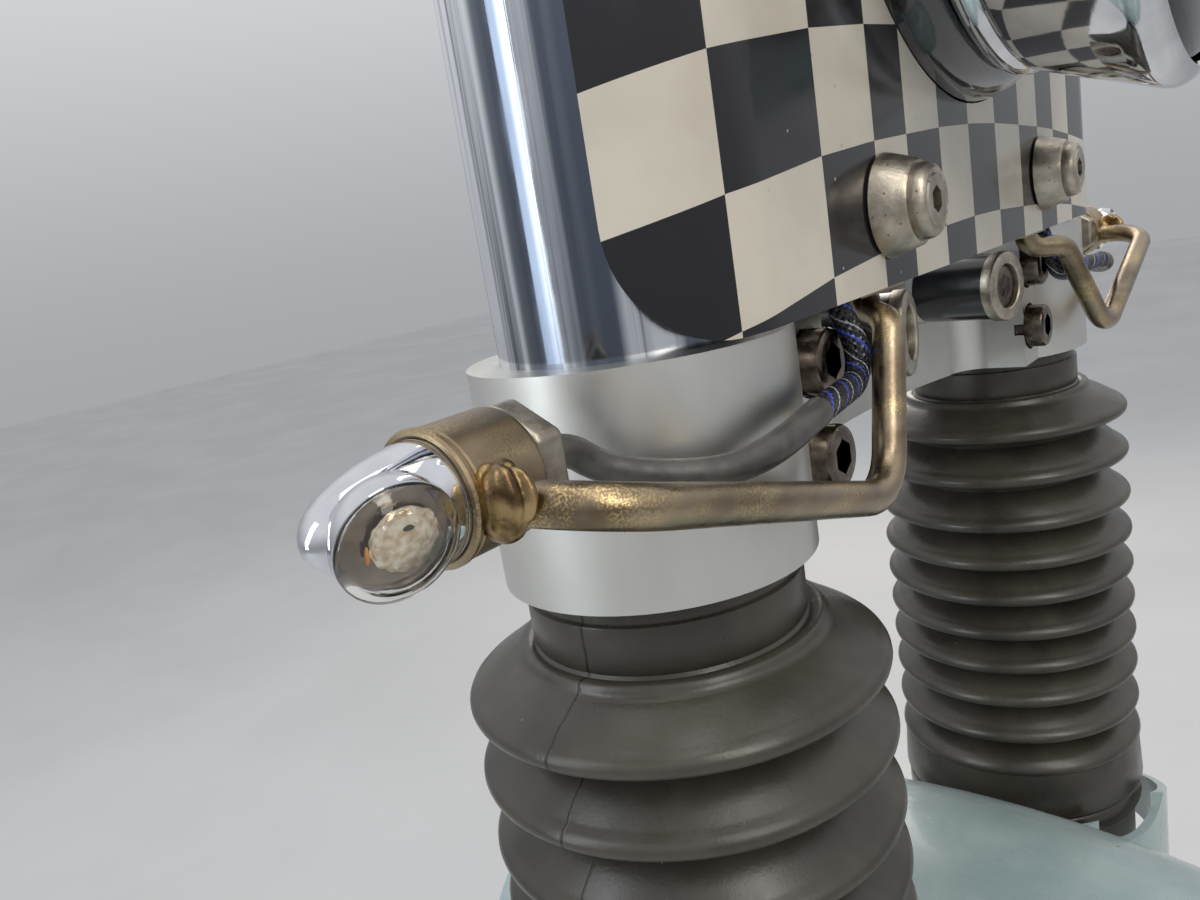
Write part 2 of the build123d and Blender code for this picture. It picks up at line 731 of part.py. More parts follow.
for side, sign in SIDES:
    # Cones and bolts that hold the panel, two on each side
    with BuildPart() as cones:
        for height in panel_bolt_heights:
            base = along_x(panel_front, sign * panel_bolt_y, height)
            with BuildSketch(base):
                Circle(cone_base_od / 2)
            with BuildSketch(base.offset(cone_height)):
                Circle(cone_top_od / 2)
            loft()
            with BuildSketch(base):
                Circle(bolt_shank_od / 2)
            extrude(amount=cone_height, mode=Mode.SUBTRACT)
    save(cones.part, f"panel_cones_{side}")

    with BuildPart() as panel_bolts:
        for height in panel_bolt_heights:
            base = along_x(panel_front + cone_height, sign * panel_bolt_y, height)
            with BuildSketch(base):
                Circle(bolt_head_od / 2)
            with BuildSketch(base.offset(bolt_head)):
                Circle(bolt_head_od / 2 - 2.2)
            loft()
            with BuildSketch(base.offset(bolt_head)):
                RegularPolygon(bolt_socket / 2, 6, major_radius=False)
            extrude(amount=-bolt_head * 0.6, mode=Mode.SUBTRACT)
            with BuildSketch(base):
                Circle(bolt_shank_od / 2)
            extrude(amount=-(cone_height + panel_wall + plate_wall))
    save(panel_bolts.part, f"panel_bolts_{side}")

    # Lower bracket: angle plate on the lower yoke with the bent indicator rod
    flange_x = (lug_front - flange_back, panel_back)
    foot_x = (lug_front - foot_back, lug_front)
    foot_y = (plate_outer - plate_wall, lug_inner + foot_lap)
    plate_middle = sign * (plate_inner + plate_outer) / 2
    foot_middle = ((foot_x[0] + foot_x[1]) / 2, sign * (foot_y[0] + foot_y[1]) / 2)
    with BuildPart() as indicator_bracket:
        with BuildSketch(Plane.XY.offset(lower_yoke_top)):
            with Locations(((flange_x[0] + flange_x[1]) / 2, plate_middle)):
                Rectangle(flange_x[1] - flange_x[0], plate_outer - plate_inner)
            with Locations(foot_middle):
                Rectangle(foot_x[1] - foot_x[0], foot_y[1] - foot_y[0])
        extrude(amount=plate_wall)
        upright = panel_bolt_rise + plate_top_margin
        with BuildSketch(Plane.XY.offset(lower_yoke_top)):
            with Locations((panel_back - plate_wall / 2, plate_middle)):
                Rectangle(plate_wall, plate_outer - plate_inner)
        extrude(amount=upright)
        with BuildSketch(along_x(panel_back, sign * panel_bolt_y, panel_bolt_heights[0])):
            Circle(bolt_shank_od / 2)
        extrude(amount=-plate_wall, mode=Mode.SUBTRACT)
        with BuildLine() as rod_line:
            FilletPolyline(*route(rod_points, sign), radius=rod_radii)
        with BuildSketch(Plane(origin=rod_line.line @ 0, z_dir=rod_line.line % 0)):
            Circle(rod_od / 2)
        sweep()
        collar_inner = along_y(collar_x, sign * indicator_collar_inner_y, indicator_z, sign)
        with BuildSketch(collar_inner):
            Circle(indicator_collar_od / 2)
        extrude(amount=indicator_collar_length, mode=Mode.SUBTRACT)
    save(indicator_bracket.part, f"indicator_bracket_{side}")

    # Upper bracket: the same angle plate under the upper yoke
    upper_middle = sign * (upper_plate_inner + plate_outer) / 2
    with BuildPart() as upper_bracket:
        with BuildSketch(Plane.XY.offset(upper_yoke_bottom)):
            with Locations(((flange_x[0] + flange_x[1]) / 2, upper_middle)):
                Rectangle(flange_x[1] - flange_x[0], plate_outer - upper_plate_inner)
            with Locations(foot_middle):
                Rectangle(foot_x[1] - foot_x[0], foot_y[1] - foot_y[0])
        extrude(amount=-plate_wall)
        with BuildSketch(Plane.XY.offset(upper_yoke_bottom)):
            with Locations((panel_back - plate_wall / 2, upper_middle)):
                Rectangle(plate_wall, plate_outer - upper_plate_inner)
        extrude(amount=-(upper_yoke_bottom - upper_plate_bottom))
        with BuildSketch(along_x(panel_back, sign * panel_bolt_y, panel_bolt_heights[1])):
            Circle(bolt_shank_od / 2)
        extrude(amount=-plate_wall, mode=Mode.SUBTRACT)
    save(upper_bracket.part, f"panel_bracket_{side}")

    # Collar that carries the indicator, with its axis across the motorcycle
    collar_plane = along_y(collar_x, sign * indicator_collar_inner_y, indicator_z, sign)
    body_od = indicator_body_od
    with BuildPart() as indicator_collar:
        with BuildSketch(collar_plane):
            Circle(indicator_collar_od / 2)
            Circle(body_od / 2, mode=Mode.SUBTRACT)
        extrude(amount=indicator_collar_length)
    save(indicator_collar.part, f"indicator_collar_{side}")

    with BuildPart() as indicator_nut_part:
        with BuildSketch(collar_plane):
            RegularPolygon(indicator_nut_width / 2, 6, major_radius=False)
        extrude(amount=-indicator_nut)
    save(indicator_nut_part.part, f"indicator_nut_{side}")

    # Bullet-shaped housing with a round lens let into its front
    bullet_length = indicator_collar_length + indicator_body_length
    tip_y = indicator_collar_inner_y + bullet_length
    nose = indicator_nose_od / 2
    lens_tilt = math.radians(lens_angle)
    lens_normal = (math.cos(lens_tilt), sign * math.sin(lens_tilt), 0)
    lens_middle_y = tip_y - lens_from_tip
    lens_plane = Plane(
        origin=(collar_x + body_od / 2 - lens_set_in, sign * lens_middle_y, indicator_z),
        z_dir=lens_normal,
    )
    with BuildPart() as indicator_body:
        with BuildSketch(Plane(origin=(collar_x, 0, indicator_z), x_dir=(1, 0, 0), z_dir=(0, 0, 1))):
            with BuildLine():
                start = (0, sign * indicator_collar_inner_y)
                corner = (body_od / 2, sign * indicator_collar_inner_y)
                collar_end = (body_od / 2, sign * (indicator_collar_inner_y + indicator_collar_length))
                side_end = (nose, sign * (tip_y - nose))
                tip = (0, sign * tip_y)
                Line(start, corner)
                Line(corner, collar_end)
                Line(collar_end, side_end)
                ThreePointArc(side_end, (nose * 0.72, sign * (tip_y - nose * 0.32)), tip)
                Line(tip, start)
            make_face()
        revolve(axis=Axis((collar_x, 0, indicator_z), (0, 1, 0)))
        with BuildSketch(lens_plane):
            Rectangle(body_od * 3, body_od * 3)
        extrude(amount=body_od, mode=Mode.SUBTRACT)
        with BuildSketch(lens_plane):
            Circle(lens_od / 2 - 1.2)
        extrude(amount=-(led_depth + 1.0), mode=Mode.SUBTRACT)
    save(indicator_body.part, f"indicator_body_{side}")

    with BuildPart() as lens:
        with BuildSketch(lens_plane):
            Circle(lens_od / 2)
        extrude(amount=lens_wall)
        chamfer(lens.faces().sort_by(Axis(lens_plane.origin, lens_normal))[-1].edges(), 0.8)
    save(lens.part, f"indicator_lens_{side}")

    with BuildPart() as leds:
        with BuildSketch(lens_plane.offset(-(led_depth + 1.0))):
            Circle(led_od / 2)
        extrude(amount=led_depth)
    save(leds.part, f"indicator_leds_{side}")

    lead_route = route(lead_points, sign)
    lead_radii = corner_radii(lead_route)
    with BuildPart() as lead:
        with BuildLine() as lead_line:
            FilletPolyline(*lead_route, radius=lead_radii)
        with BuildSketch(Plane(origin=lead_line.line @ 0, z_dir=lead_line.line % 0)):
            Circle(lead_od / 2)
        sweep()
    section = math.pi * lead_od ** 2 / 4
    print(side, "lead radii", [round(r, 1) for r in lead_radii])
    print(side, "lead volume", round(lead.part.volume), "expected", round(section * lead_line.wire().length))
    save(lead.part, f"indicator_lead_{side}")

    # Rubber grommet where the lead enters the lamp bucket
    gland = Plane(
        origin=(lead_end_x, sign * bucket_od / 2 * math.sin(gland_angle), lamp_z - bucket_od / 2 * math.cos(gland_angle)),
        x_dir=(1, 0, 0),
        z_dir=(0, sign * math.sin(gland_angle), -math.cos(gland_angle)),
    )
    with BuildPart() as grommet:
        with BuildSketch(gland):
            Circle(grommet_od / 2)
            Circle(lead_od / 2 + grommet_gap, mode=Mode.SUBTRACT)
        extrude(amount=grommet_height)
    save(grommet.part, f"lead_grommet_{side}")

# Headlamp: bucket behind and through the panel, deep bright rim, reflector and glass
lamp_plane = Plane(origin=(0, 0, lamp_z), x_dir=(1, 0, 0), z_dir=(0, -1, 0))
lamp_axis = Axis((0, 0, lamp_z), (1, 0, 0))
rim_front_x = bucket_front_x + rim_depth
with BuildPart() as bucket:
    with BuildSketch(lamp_plane):
        with BuildLine():
            outer = Polyline(
                (bucket_back_x, 0),
                (bucket_back_x, bucket_back_od / 2),
                (bucket_shoulder_x, bucket_od / 2),
                (bucket_front_x - bucket_neck, bucket_od / 2),
            )
            # The bucket draws in to a neck in front of the panel
            outer_neck = ThreePointArc(
                outer @ 1,
                (bucket_front_x - bucket_neck * 0.35, bucket_od / 2 - 1.7),
                (bucket_front_x, bucket_neck_od / 2),
            )
            inner = Polyline(
                (bucket_back_x + bucket_wall, 0),
                (bucket_back_x + bucket_wall, bucket_back_od / 2 - bucket_wall * 0.4),
                (bucket_shoulder_x + bucket_wall * 0.6, bucket_od / 2 - bucket_wall),
                (bucket_front_x - bucket_neck, bucket_od / 2 - bucket_wall),
            )
            inner_neck = ThreePointArc(
                inner @ 1,
                (bucket_front_x - bucket_neck * 0.45, bucket_od / 2 - 1.7 - bucket_wall),
                (bucket_front_x, bucket_neck_od / 2 - bucket_wall),
            )
            Line(outer @ 0, inner @ 0)
            Line(outer_neck @ 1, inner_neck @ 1)
        make_face()
    revolve(axis=lamp_axis)
save(bucket.part, "headlamp_bucket")

with BuildPart() as rim:
    with BuildSketch(lamp_plane):
        with BuildLine():
            back = (bucket_front_x, bucket_neck_od / 2 + 1.0)
            bulge = (bucket_front_x + rim_depth * 0.45, rim_od / 2 - 5.0)
            crest = (rim_front_x - 6.5, rim_od / 2)
            lip = (rim_front_x, rim_od / 2 - rim_lip)
            outer_side = ThreePointArc(back, bulge, crest)
            outer_lip = ThreePointArc(crest, (rim_front_x - 2.2, rim_od / 2 - 1.2), lip)
            Line(lip, (rim_front_x - 1.5, rim_od / 2 - rim_lip - 1.0))
            Line((rim_front_x - 1.5, rim_od / 2 - rim_lip - 1.0), (crest[0], crest[1] - rim_wall - 1.0))
            Line((crest[0], crest[1] - rim_wall - 1.0), (bulge[0], bulge[1] - rim_wall))
            Line((bulge[0], bulge[1] - rim_wall), (back[0], back[1] - rim_wall))
            Line((back[0], back[1] - rim_wall), back)
        make_face()
    revolve(axis=lamp_axis)
save(rim.part, "headlamp_rim")

glass_r = rim_od / 2 - rim_lip - 2.0
glass_x = rim_front_x - 4.5
glass_face = glass_x + glass_wall
with BuildPart() as glass:
    with BuildSketch(lamp_plane):
        with BuildLine():
            Line((glass_x, 0), (glass_x, glass_r))
            Line((glass_x, glass_r), (glass_face, glass_r))
            dome_arc(glass_face + lens_crown, glass_face, glass_r)
            Line((glass_face + lens_crown, 0), (glass_x, 0))
        make_face()
    revolve(axis=lamp_axis)
save(glass.part, "headlamp_lens")

# Bowl behind the glass
reflector_front = glass_x - 0.5
with BuildPart() as reflector:
    with BuildSketch(lamp_plane):
        with BuildLine():
            dome_arc(reflector_back, reflector_front, reflector_r)
            dome_arc(reflector_back - reflector_wall, reflector_front, reflector_r + reflector_wall)
            Line((reflector_back, 0), (reflector_back - reflector_wall, 0))
            Line((reflector_front, reflector_r), (reflector_front, reflector_r + reflector_wall))
        make_face()
    revolve(axis=lamp_axis)
save(reflector.part, "headlamp_reflector")

# Mudguard: a crown over the tyre, and on each side a skirt with a wing round the slider
crown_r = crown_top - guard_wall - axle_z
axle_line = Axis((leg_offset, 0, axle_z), (0, 1, 0))
guard_section = Plane(origin=(leg_offset, 0, axle_z), x_dir=(0, 1, 0), z_dir=(1, 0, 0))
with BuildPart() as mudguard:
    with BuildSketch(guard_section) as crown_sketch:
        with BuildLine():
            outer_arc = ThreePointArc(
                (-guard_half_width, crown_r - guard_skirt),
                (0, crown_r + guard_wall),
                (guard_half_width, crown_r - guard_skirt),
            )
            inner_arc = ThreePointArc(
                (-guard_half_width + guard_wall, crown_r - guard_skirt),
                (0, crown_r),
                (guard_half_width - guard_wall, crown_r - guard_skirt),
            )
            Line(outer_arc @ 0, inner_arc @ 0)
            Line(outer_arc @ 1, inner_arc @ 1)
        make_face()
    revolve(axis=axle_line, revolution_arc=guard_front_angle)
    revolve(crown_sketch.sketch, axis=axle_line, revolution_arc=-guard_rear_angle)
save(mudguard.part, "mudguard")

for side, sign in SIDES:
    with BuildPart() as guard_flank:
        with BuildSketch(guard_section) as skirt_sketch:
            with Locations((sign * (guard_half_width - guard_wall / 2), crown_r - guard_skirt - guard_side / 2)):
                Rectangle(guard_wall, guard_side)
        revolve(axis=axle_line, revolution_arc=guard_front_angle)
        revolve(skirt_sketch.sketch, axis=axle_line, revolution_arc=-guard_rear_angle)
        start = min(sign * wing_from, sign * wing_to)
        middle = (leg_offset, sign * leg_y)
        with BuildSketch(Plane.XY.offset(wing_top)):
            with BuildLine():
                outside = CenterArc(middle, wing_radius + guard_wall, start, wing_to - wing_from)
                inside = CenterArc(middle, wing_radius, start, wing_to - wing_from)
                Line(outside @ 0, inside @ 0)
                Line(outside @ 1, inside @ 1)
            make_face()
        extrude(amount=-wing_height)
        # Hollow in the wing's top edge beside the crown, and its fall outboard
        notch_z = wing_top - notch_depth + notch_radius
        with BuildSketch(from_leg(sign, notch_angle, wing_radius - 2, notch_z)):
            Circle(notch_radius)
        extrude(amount=guard_wall + 4, mode=Mode.SUBTRACT)
        fall_start = leg_y - 8
        fall_end = leg_y + wing_radius + guard_wall + 4
        with BuildSketch(along_x(leg_offset + wing_radius + guard_wall + 4, 0, 0)):
            with BuildLine():
                Polyline(
                    (sign * fall_start, wing_top),
                    (sign * fall_end, wing_top - wing_fall * (fall_end - fall_start)),
                    (sign * fall_end, wing_top + 2),
                    (sign * fall_start, wing_top + 2),
                    close=True,
                )
            make_face()
        extrude(amount=-(wing_radius + guard_wall) * 1.5, mode=Mode.SUBTRACT)
        for angle in guard_boss_angles:
            with BuildSketch(from_leg(sign, angle, wing_radius + guard_wall + 1, guard_boss_z)):
                Circle(guard_bolt_shank_od / 2)
            extrude(amount=-(guard_wall + 2), mode=Mode.SUBTRACT)
    save(guard_flank.part, f"mudguard_wing_{side}")

for side, sign in SIDES:
    with BuildPart() as guard_bolts:
        for angle in guard_boss_angles:
            head = from_leg(sign, angle, wing_radius + guard_wall, guard_boss_z)
            with BuildSketch(head):
                Circle(guard_bolt_od / 2)
            extrude(amount=guard_bolt_head)
            with BuildSketch(head):
                Circle(guard_bolt_shank_od / 2)
            extrude(amount=-guard_bolt_length)
    save(guard_bolts.part, f"mudguard_bolts_{side}")
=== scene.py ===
"""Looks of a motorcycle front fork: yokes, legs in rubber gaiters, chequered lamp panel and indicators."""

import logging
import math
from bisect import bisect_right
from dataclasses import dataclass
from enum import Enum
from typing import Callable, Sequence

import bmesh
import bpy
from mathutils import Matrix, Vector, noise


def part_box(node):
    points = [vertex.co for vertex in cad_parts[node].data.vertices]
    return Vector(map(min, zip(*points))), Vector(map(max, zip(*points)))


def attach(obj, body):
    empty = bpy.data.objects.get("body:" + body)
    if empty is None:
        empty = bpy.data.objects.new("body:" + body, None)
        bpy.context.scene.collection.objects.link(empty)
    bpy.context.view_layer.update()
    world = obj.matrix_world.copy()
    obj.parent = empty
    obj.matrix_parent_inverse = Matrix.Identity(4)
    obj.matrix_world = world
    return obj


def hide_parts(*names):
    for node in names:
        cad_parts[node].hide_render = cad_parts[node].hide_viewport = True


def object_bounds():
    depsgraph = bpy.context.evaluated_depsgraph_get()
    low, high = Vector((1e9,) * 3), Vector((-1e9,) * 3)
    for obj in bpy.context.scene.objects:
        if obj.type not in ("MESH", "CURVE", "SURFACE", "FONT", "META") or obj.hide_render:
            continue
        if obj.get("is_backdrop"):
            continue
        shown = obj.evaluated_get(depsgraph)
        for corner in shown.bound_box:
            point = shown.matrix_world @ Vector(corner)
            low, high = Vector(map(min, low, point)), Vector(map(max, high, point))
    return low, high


LOG = logging.getLogger("front_fork")
MM = 0.001
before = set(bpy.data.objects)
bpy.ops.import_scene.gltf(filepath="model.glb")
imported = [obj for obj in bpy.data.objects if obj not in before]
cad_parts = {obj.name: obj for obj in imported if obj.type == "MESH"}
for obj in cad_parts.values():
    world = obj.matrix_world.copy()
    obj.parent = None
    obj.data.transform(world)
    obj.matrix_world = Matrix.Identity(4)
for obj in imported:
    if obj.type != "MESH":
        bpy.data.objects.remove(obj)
Point = tuple[float, float, float]
Colour = tuple[float, float, float]
Profile = Sequence[tuple[float, float]]
Socket = bpy.types.NodeSocket
Node = bpy.types.Node
Tree = bpy.types.NodeTree
Shape = bmesh.types.BMesh
FORWARD = Vector((1, 0, 0))
UP = Vector((0, 0, 1))


class Side(Enum):
    """A side of the motorcycle, with its sign along Y."""

    RIGHT = ("right", -1)
    LEFT = ("left", 1)

    @property
    def word(self) -> str:
        """The side's name in the nodes."""
        return self.value[0]

    @property
    def sign(self) -> int:
        """Minus one on the rider's right."""
        return self.value[1]


class Body(Enum):
    """What a piece turns with."""

    HEAD = "head"
    FORK = "fork"


class Slot(Enum):
    """Material slots of the record."""

    BLACK_PAINT = "black_paint"
    BEARING = "bearing_steel"
    BRIGHT = "bright_steel"
    YOKE = "yoke_aluminium"
    TUBE = "tube_chrome"
    GAITER = "gaiter_rubber"
    SLIDER = "slider_alloy"
    DARK_BOLT = "dark_bolt"
    BOSS = "boss_black"
    CHEQUER = "panel_check"
    PLATED = "plated_steel"
    ROD = "raw_rod"
    INDICATOR = "indicator_chrome"
    CLEAR = "clear_lens"
    LED = "led"
    LEAD = "lead_sheath"
    LAMP_BLACK = "lamp_black"
    LAMP_CHROME = "lamp_chrome"
    LAMP_GLASS = "lamp_glass"
    REFLECTOR = "reflector"
    GUARD = "guard_paint"


class Weaver:
    """Adds linked nodes to a shader tree."""

    def __init__(self, tree: Tree) -> None:
        """Keeps the tree that the nodes go into."""
        self.tree = tree

    def add(self, kind: str, inputs: dict | None = None, **settings: object) -> Node:
        """Adds a node.

        Args:
            kind: The node's type name.
            inputs: Values or sockets for its inputs, by name or number.
            settings: Properties of the node.

        Returns:
            The new node.
        """
        node = self.tree.nodes.new(kind)
        for key, value in settings.items():
            setattr(node, key, value)
        for key, value in (inputs or {}).items():
            if isinstance(value, Socket):
                self.tree.links.new(value, node.inputs[key])
            else:
                node.inputs[key].default_value = value
        return node

    def math(self, operation: str, *values: object) -> Socket:
        """A Math node's result for one or two values or sockets."""
        return self.add("ShaderNodeMath", dict(enumerate(values)), operation=operation).outputs[0]

    def spread(self, value: Socket, low: float, high: float, to_low: float = 0.0,
               to_high: float = 1.0) -> Socket:
        """Maps a value's range smoothly to another one."""
        inputs = {"Value": value, "From Min": low, "From Max": high, "To Min": to_low, "To Max": to_high}
        return self.add("ShaderNodeMapRange", inputs, interpolation_type="SMOOTHSTEP").outputs[0]

    def blend(self, mask: Socket, low: object, high: object) -> Socket:
        """Mixes two colours, or sockets, by a mask.

        Args:
            mask: Zero gives the first colour and one the second.
            low: The first colour, or its socket.
            high: The second colour, or its socket.

        Returns:
            The mixed colour's socket.
        """
        low = (*low, 1.0) if isinstance(low, tuple) else low
        high = (*high, 1.0) if isinstance(high, tuple) else high
        return self.add("ShaderNodeMix", {0: mask, 6: low, 7: high}, data_type="RGBA").outputs[2]

    def cloud(self, place: Socket, scale: float, detail: float = 3.0, rough: float = 0.55,
              twist: float = 0.0) -> Socket:
        """A noise texture's value; scale is per metre."""
        inputs = {"Vector": place, "Scale": scale, "Detail": detail, "Roughness": rough, "Distortion": twist}
        return self.add("ShaderNodeTexNoise", inputs).outputs[0]

    def squeeze(self, place: Socket, factors: Point) -> Socket:
        """Scales a position along each axis, so that a pattern on it runs along the smallest."""
        return self.add("ShaderNodeMapping", {"Vector": place, "Scale": factors}).outputs[0]

    def group(self, tree: Tree, inputs: dict) -> Socket:
        """Places a shared effect and gives its only output."""
        return self.add("ShaderNodeGroup", inputs, node_tree=tree).outputs[0]

    def noise(self, place: Socket, scale: object, detail: float) -> Socket:
        """A plain noise texture's value, for the shared effects."""
        return self.add("ShaderNodeTexNoise", {"Vector": place, "Scale": scale, "Detail": detail}).outputs[0]


def shared_effect(name: str, sockets: Sequence[str], output: str,
                  fill: Callable[[Weaver, Node], Socket]) -> Tree:
    """Builds a shader node group once.

    Args:
        name: The group's name.
        sockets: Float inputs after the first input, Place.
        output: The output's name.
        fill: Adds the nodes and gives the result socket.

    Returns:
        The group's tree.
    """
    if name in bpy.data.node_groups:
        return bpy.data.node_groups[name]
    tree = bpy.data.node_groups.new(name, "ShaderNodeTree")
    tree.interface.new_socket("Place", in_out="INPUT", socket_type="NodeSocketVector")
    for word in sockets:
        tree.interface.new_socket(word, in_out="INPUT", socket_type="NodeSocketFloat")
    tree.interface.new_socket(output, in_out="OUTPUT", socket_type="NodeSocketFloat")
    weaver = Weaver(tree)
    start = tree.nodes.new("NodeGroupInput")
    end = tree.nodes.new("NodeGroupOutput")
    tree.links.new(fill(weaver, start), end.inputs[0])
    return tree


def specks() -> Tree:
    """Scattered dots of dust or pitting: Place, Scale, Size and Share in, Mask out.

    Returns:
        The group's tree.
    """

    def fill(w: Weaver, start: Node) -> Socket:
        """Keeps a dot in some of the cells only.

        Args:
            w: Adds the nodes.
            start: The group's input node.

        Returns:
            The result's socket.
        """
        cells = w.add("ShaderNodeTexVoronoi", {"Vector": start.outputs[0], "Scale": start.outputs[1]})
        tint = w.add("ShaderNodeSeparateColor", {0: cells.outputs["Color"]})
        size = w.math("MULTIPLY", start.outputs[2], tint.outputs[1])
        dot = w.math("LESS_THAN", cells.outputs["Distance"], size)
        kept = w.math("LESS_THAN", tint.outputs[0], start.outputs[3])
        return w.math("MULTIPLY", dot, kept)

    return shared_effect("specks", ("Scale", "Size", "Share"), "Mask", fill)


def scratches() -> Tree:
    """Short fine lines in two directions: Place, Scale and Share in, Mask out.

    Returns:
        The group's tree.
    """

    def fill(w: Weaver, start: Node) -> Socket:
        """Thin bands of two stretched noises, broken up by a third.

        Args:
            w: Adds the nodes.
            start: The group's input node.

        Returns:
            The result's socket.
        """
        stretch = (1.0, 1.0, 0.06)
        half_width = 0.006
        patch_scale = 90.0
        lines = []
        for turn in ((0.5, 0.3, 0.9), (-0.4, 0.8, -0.5)):
            inputs = {"Vector": start.outputs[0], "Rotation": turn, "Scale": stretch}
            place = w.add("ShaderNodeMapping", inputs).outputs[0]
            off = w.math("ABSOLUTE", w.math("SUBTRACT", w.noise(place, start.outputs[1], 1.0), 0.5))
            lines.append(w.math("LESS_THAN", off, half_width))
        kept = w.math("LESS_THAN", w.noise(start.outputs[0], patch_scale, 2.0), start.outputs[2])
        return w.math("MULTIPLY", w.math("MAXIMUM", *lines), kept)

    return shared_effect("scratches", ("Scale", "Share"), "Mask", fill)


def grain() -> Tree:
    """Fine surface grain for a bump: Place and Scale in, Height out.

    Returns:
        The group's tree.
    """

    def fill(w: Weaver, start: Node) -> Socket:
        """Two noises of different size added up.

        Args:
            w: Adds the nodes.
            start: The group's input node.

        Returns:
            The result's socket.
        """
        times_finer = 3.7
        share = 0.5
        coarse = w.noise(start.outputs[0], start.outputs[1], 2.0)
        fine = w.noise(start.outputs[0], w.math("MULTIPLY", start.outputs[1], times_finer), 2.0)
        return w.math("ADD", coarse, w.math("MULTIPLY", fine, share))

    return shared_effect("grain", ("Scale",), "Height", fill)


@dataclass(frozen=True)
class Finish:
    """A surface finish whose colour, gloss and grain vary over the piece.

    Colours are linear. Scales are per metre.
    """

    name: str
    low: Colour
    high: Colour
    metal: float = 0.0
    rough: tuple[float, float] = (0.3, 0.4)
    cloud: float = 60.0
    run: Point = (1.0, 1.0, 1.0)
    grain: float = 900.0
    bump: float = 0.05
    dust: Colour = (0.5, 0.47, 0.42)
    dust_share: float = 0.0
    dust_scale: float = 260.0
    dust_size: float = 0.16
    scratch: Colour = (0.6, 0.6, 0.6)
    scratch_share: float = 0.0
    scratch_scale: float = 350.0
    coat: float = 0.0
    coat_rough: float = 0.06

    def base(self, w: Weaver, place: Socket) -> Socket:
        """The colour before dust and scratches."""
        mask = w.spread(w.cloud(w.squeeze(place, self.run), self.cloud, 4.0), 0.32, 0.68)
        return w.blend(mask, self.low, self.high)

    def height(self, w: Weaver, place: Socket) -> Socket:
        """The height that the bump reads."""
        return w.group(grain(), {"Place": w.squeeze(place, self.run), "Scale": self.grain})

    def settings(self, shader: Node) -> None:
        """Sets what is the same all over.

        Args:
            shader: The material's shader.
        """
        shader.inputs["Metallic"].default_value = self.metal
        shader.inputs["Coat Weight"].default_value = self.coat
        shader.inputs["Coat Roughness"].default_value = self.coat_rough

    def material(self) -> bpy.types.Material:
        """Builds the material, or gives the one built before.

        Returns:
            The material.
        """
        if self.name in bpy.data.materials:
            return bpy.data.materials[self.name]
        made = bpy.data.materials.new(self.name)
        made.use_nodes = True
        tree = made.node_tree
        tree.nodes.clear()
        w = Weaver(tree)
        place = w.add("ShaderNodeTexCoord").outputs["Object"]
        colour = self.base(w, place)
        if self.scratch_share:
            inputs = {"Place": place, "Scale": self.scratch_scale, "Share": self.scratch_share}
            colour = w.blend(w.group(scratches(), inputs), colour, self.scratch)
        if self.dust_share:
            inputs = {"Place": place, "Scale": self.dust_scale, "Size": self.dust_size}
            inputs["Share"] = self.dust_share
            colour = w.blend(w.group(specks(), inputs), colour, self.dust)
        gloss = w.spread(w.cloud(place, self.cloud * 2.3, 4.0), 0.3, 0.7, *self.rough)
        shader = w.add("ShaderNodeBsdfPrincipled", {"Base Color": colour, "Roughness": gloss})
        self.settings(shader)
        if self.bump:
            inputs = {"Strength": 1.0, "Distance": self.bump * MM, "Height": self.height(w, place)}
            tree.links.new(w.add("ShaderNodeBump", inputs).outputs[0], shader.inputs["Normal"])
        out = w.add("ShaderNodeOutputMaterial")
        tree.links.new(shader.outputs[0], out.inputs[0])
        return made


@dataclass(frozen=True)
class TubeChrome(Finish):
    """Hard chrome on a round tube, with painted reflections: bright and dark streaks along it in its colour.
    """

    fine_run: Point = (1.0, 1.0, 0.01)
    # stretch of the painted reflection streaks along the tube
    reflection_run: Point = (1.0, 1.0, 0.006)

    def fine(self, w: Weaver, place: Socket) -> Socket:
        """Fine lines along the tube."""
        return w.cloud(w.squeeze(place, self.fine_run), 420.0, 3.0, 0.6)

    def base(self, w: Weaver, place: Socket) -> Socket:
        """Painted reflections: broad bright and dark streaks along the tube, broken by the fine grinding
        lines.

        Args:
            w: Adds the nodes.
            place: The position that the pattern reads.

        Returns:
            The colour's socket.
        """
        # painted reflection: broad bright and dark streaks along the tube stand in for the surroundings
        # mirrored in the chrome
        painted_reflection = w.spread(w.cloud(w.squeeze(place, self.reflection_run), 95.0, 2.0, 0.5), 0.38, 0.56)
        fine = w.spread(self.fine(w, place), 0.3, 0.55)
        return w.blend(w.math("MULTIPLY", painted_reflection, fine), self.low, self.high)

    def height(self, w: Weaver, place: Socket) -> Socket:
        """Grinding lines along the tube."""
        return self.fine(w, place)


